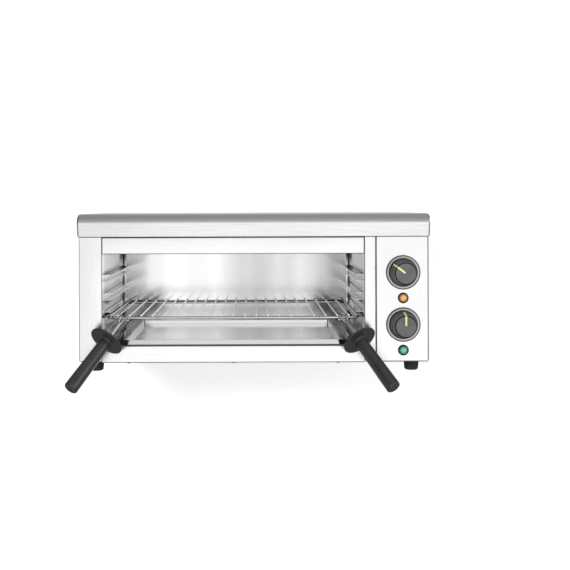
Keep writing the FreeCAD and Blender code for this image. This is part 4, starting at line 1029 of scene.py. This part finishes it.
@dataclass
class Dial:
    """Control knob with its pointer, in front of a turned dial ring."""

    level: str
    height: float
    ring_radius: float = 30.0 * MM
    ring_thickness: float = 1.6 * MM
    rim: Span = (28.8 * MM, 27.8 * MM)
    rim_shade_reach: float = 28.7 * MM
    ridge: Triple = (25.6 * MM, 25.0 * MM, 24.4 * MM)
    groove: float = 0.5 * MM
    ring_rounding: float = 0.25 * MM
    ring_steps: int = 3
    bush: float = 5.2 * MM
    gap: float = 0.8 * MM
    base_radius: float = 24.0 * MM
    hollow: Span = (21.0 * MM, 6.0 * MM)
    skirt: float = 2.6 * MM
    shoulder: Span = (21.6 * MM, 3.8 * MM)
    waist: Span = (20.6 * MM, 7.0 * MM)
    top: tuple[Span, Span] = ((19.1 * MM, 28.4 * MM), (17.8 * MM, 30.0 * MM))
    knob_rounding: float = 1.1 * MM
    face_radius: float = 17.2 * MM
    face_depth: float = 0.2 * MM
    edge_shade_depth: float = 2.0 * MM
    base_shade_band: float = 1.2 * MM
    turned_steps: int = 128
    hard: float = 40.0

    @property
    def centre(self) -> Vector:
        """Point of the dial's axis on the control panel."""
        return Vector((CONTROLS_X, FRONT, self.height))

    def reach_of(self, place: Vector) -> float:
        """Distance of a place from the dial's axis."""
        return math.hypot(place.x - self.centre.x, place.z - self.centre.z)

    def stand(self, outline: Profile) -> BMesh:
        """Outline turned about the dial's axis and stood on the panel."""
        return stood(turned(outline, self.turned_steps), self.centre, Vector((0, -1, 0)))

    def ring(self) -> None:
        """Builds the ring with its raised rim and its ridge, and paints its outer edge dark as shade."""
        high, low = self.ring_thickness, self.ring_thickness - self.groove
        outline = [(self.bush, 0.0), (self.ring_radius, 0.0), (self.ring_radius, high),
                   (self.rim[0], high), (self.rim[1], low),
                   *zip(self.ridge, (low, high, low)), (self.bush, low), (self.bush, 0.0)]
        finish = TurnedMetal(f"{self.level}_ring_turned", centre=(self.centre.x, self.centre.z))
        mesh = self.stand(rounded(outline, self.ring_rounding, self.ring_steps))
        ring = piece(f"{self.level}_dial_ring", mesh, finish, CABINET,
                     (f"{self.level}_bezel",), hard=self.hard)
        # The outer edge of the ring is painted dark as shade.
        second_finish(ring, RING_RIM_SHADE, lambda place: self.reach_of(place) > self.rim_shade_reach)

    def knob(self) -> None:
        """Builds the knob. Its face has a rougher grey skin that is painted lighter, as light, and dark
        bands of painted shade run round its face and its base.
        """
        foot = self.ring_thickness + self.gap
        reach = self.top[1][1]
        outline = [(0.0, foot + self.hollow[1]), (self.hollow[0], foot + self.hollow[1]),
                   (self.hollow[0], foot), (self.base_radius, foot), (self.base_radius, foot + self.skirt),
                   (self.shoulder[0], foot + self.shoulder[1]), (self.waist[0], foot + self.waist[1]),
                   *self.top, (0.0, reach)]
        mesh = self.stand(rounded(outline, self.knob_rounding))
        knob = piece(f"{self.level}_knob_moulding", mesh, KNOB, f"{self.level}_control",
                     (f"{self.level}_knob",), hard=self.hard)
        front = self.centre.y - reach
        # Painted light on the face, and painted shade round its outline and at the base.
        second_finish(knob, KNOB_LIT_FACE, lambda place: place.y < front + self.face_depth
                      and self.reach_of(place) < self.face_radius)
        second_finish(knob, KNOB_EDGE_SHADE, lambda place: place.y < front + self.edge_shade_depth
                      and self.reach_of(place) >= self.face_radius)
        second_finish(knob, KNOB_EDGE_SHADE,
                      lambda place: self.reach_of(place) > self.base_radius - self.base_shade_band)

    def build(self) -> None:
        """Builds the ring and the knob, and finishes the pointer and the spindle."""
        self.ring()
        self.knob()
        finished_node(f"{self.level}_pointer", POINTER)
        finished_node(f"{self.level}_spindle", FIXING)


@dataclass
class IndicatorLamp:
    """Round indicator lamp: gloss black body and a domed coloured lens."""

    colour: str
    height: float
    tone: Rgb
    rim_tone: Rgb
    bezel_edge: float = 0.35 * MM

    def build(self) -> None:
        """Builds the body's skin and finishes the lens."""
        dressed_node(f"{self.colour}_lamp", LAMP_BODY, CABINET, self.bezel_edge)
        finished_node(f"{self.colour}_lens", LampLens(f"{self.colour}_lamp_lens", self.tone, self.rim_tone,
                                                      (CONTROLS_X, self.height)))


@dataclass
class PlainParts:
    """Parts that keep their solids: elements, feet, buffers, screws and electrical parts."""

    finishes: dict[str, Finish] = field(default_factory=lambda: {
        "front_element": HEATED, "rear_element": HEATED, "element_supports": ZINC,
        "element_terminals": BUSH, "terminal_block": BUSH, "feet": RUBBER, "rear_buffers": RUBBER,
        "foot_screws": FIXING, "bottom_screws": FIXING, "hood_screws": FIXING, "rear_screws": FIXING,
        "rail_screws": FIXING, "control_nuts": FIXING, "earth_stud": FIXING, "timer": DEVICE,
        "energy_regulator": DEVICE, "cable_gland": DEVICE})

    def build(self) -> None:
        """Finishes each node."""
        for node, finish in self.finishes.items():
            finished_node(node, finish)


@dataclass(frozen=True)
class SoftLight:
    """Square soft light of the studio."""

    name: str
    place: Triple
    size: float
    watts: float


@dataclass
class Studio:
    """White wall and floor, soft lights and the camera."""

    camera_place: Triple = (0.0, -1.790, 0.1212)
    lens: float = 54.03
    sensor: float = 36.0
    roll: float = 0.19
    shift: Span = (0.0554, -0.1386)
    sight: float = 50.0
    half_side: float = 6.0
    floor_level: float = -0.75
    wall_place: float = 0.0015
    sky_stops: tuple[Span, ...] = (
        (0.0, 0.25), (0.16, 0.40), (0.25, 1.20), (0.40, 1.20), (0.47, 1.20), (0.505, 1.12),
        (0.56, 0.88), (0.64, 0.64), (0.74, 0.50), (0.84, 0.40), (1.0, 0.32))
    flank_edge: Span = (0.30, 0.70)
    flank_level: float = 0.26
    left_edge: Span = (-0.20, -0.13)
    left_level: float = 0.86
    softbox: Triple = (0.868, -0.317, 0.382)
    softbox_edge: Span = (0.90, 0.97)
    softbox_level: float = 1.0
    lit: Triple = (0.0, -0.15, -0.02)
    lights: tuple[SoftLight, ...] = (
        SoftLight("key_light", (-1.35, -2.7, 1.0), 0.7, 42.0),
        SoftLight("fill_light", (1.8, -1.8, 0.2), 1.6, 8.0),
        SoftLight("rear_light", (0.6, 2.4, 0.9), 1.6, 18.0))

    def build(self) -> None:
        """Builds the floor, the wall, the sky, the lights and the camera."""
        self.sheet("studio_floor", Matrix.Translation((0, 0, self.floor_level)))
        upright = Matrix.Rotation(math.radians(90), 4, "X")
        self.sheet("studio_wall", Matrix.Translation((0, self.wall_place, 0)) @ upright)
        self.sky()
        for light in self.lights:
            self.lamp(light)
        self.camera()

    def sheet(self, name: str, matrix: Matrix) -> None:
        """Adds a square sheet of the stage.

        Args:
            name: the sheet's name.
            matrix: places it; before that it faces +Z.
        """
        mesh = bmesh.new()
        bmesh.ops.create_grid(mesh, x_segments=1, y_segments=1, size=self.half_side)
        bmesh.ops.transform(mesh, matrix=matrix, verts=mesh.verts)
        linked(name, mesh, STAGE)

    def sky(self) -> None:
        """White surroundings that darken overhead, below and beside, with a softbox on the right."""
        world = bpy.data.worlds.new("studio_surroundings")
        world.use_nodes = True
        bpy.context.scene.world = world
        graph = Graph(world.node_tree)
        direction = graph.node("TexCoord").outputs["Generated"]
        parts = graph.node("SeparateXYZ", {0: direction}).outputs
        ramp = graph.node("ValToRGB", {0: graph.math("MULTIPLY_ADD", parts["Z"], 0.5, 0.5)})
        ramp.color_ramp.interpolation = "EASE"
        for place, _ in self.sky_stops[1:-1]:
            ramp.color_ramp.elements.new(place)
        for element, (place, bright) in zip(ramp.color_ramp.elements, self.sky_stops):
            element.position = place
            element.color = rgba(grey(bright))
        flanks = graph.ramp(graph.math("ABSOLUTE", parts["X"]), *self.flank_edge, 1.0, self.flank_level)
        left = graph.ramp(parts["X"], *self.left_edge, self.left_level, 1.0)
        level = graph.math("MULTIPLY", graph.math("MULTIPLY", ramp.outputs[0], flanks), left)
        towards = graph.node("VectorMath", {0: direction, 1: self.softbox}, operation="DOT_PRODUCT")
        box = graph.ramp(towards.outputs["Value"], *self.softbox_edge, 0.0, self.softbox_level)
        shine = graph.node("Background", {"Color": graph.math("ADD", level, box), "Strength": 1.0})
        graph.node("OutputWorld", {"Surface": shine.outputs[0]})

    def lamp(self, light: SoftLight) -> None:
        """Adds a soft light that looks at the grill and that the metals don't mirror.

        Args:
            light: the light.
        """
        data = bpy.data.lights.new(light.name, "AREA")
        data.size = light.size
        data.energy = light.watts
        made = bpy.data.objects.new(light.name, data)
        made.location = light.place
        towards = Vector(self.lit) - Vector(light.place)
        made.rotation_euler = towards.to_track_quat("-Z", "Y").to_euler()
        made.visible_glossy = False
        bpy.context.scene.collection.objects.link(made)

    def camera(self) -> None:
        """Camera at the photograph's viewing angle."""
        data = bpy.data.cameras.new("camera")
        data.lens = self.lens
        data.sensor_width = self.sensor
        data.shift_x, data.shift_y = self.shift
        data.clip_end = self.sight
        made = bpy.data.objects.new("camera", data)
        made.location = self.camera_place
        made.rotation_euler = (math.radians(90), math.radians(self.roll), 0.0)
        bpy.context.scene.collection.objects.link(made)
        bpy.context.scene.camera = made


def main() -> None:
    """Builds the studio, then the grill's looks in order."""
    logging.basicConfig(level=logging.INFO, format="%(name)s: %(message)s")
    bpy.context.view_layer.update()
    bpy.context.scene.view_settings.view_transform = "Standard"
    assemblies = [Studio(), Casing(), SeamShades(), Cavity(), Grid(), Handle(Side.LEFT), Handle(Side.RIGHT),
                  Dial("upper", height=0.0048), Dial("lower", height=-0.0861),
                  IndicatorLamp("amber", -0.03974, tone=(0.84, 0.50, 0.19), rim_tone=(0.32, 0.14, 0.03)),
                  IndicatorLamp("green", -0.1306, tone=(0.17, 0.60, 0.36), rim_tone=(0.02, 0.19, 0.10)),
                  PlainParts()]
    for assembly in assemblies:
        assembly.build()
        log.info("built %s", type(assembly).__name__)


if __name__ == "__main__":
    main()
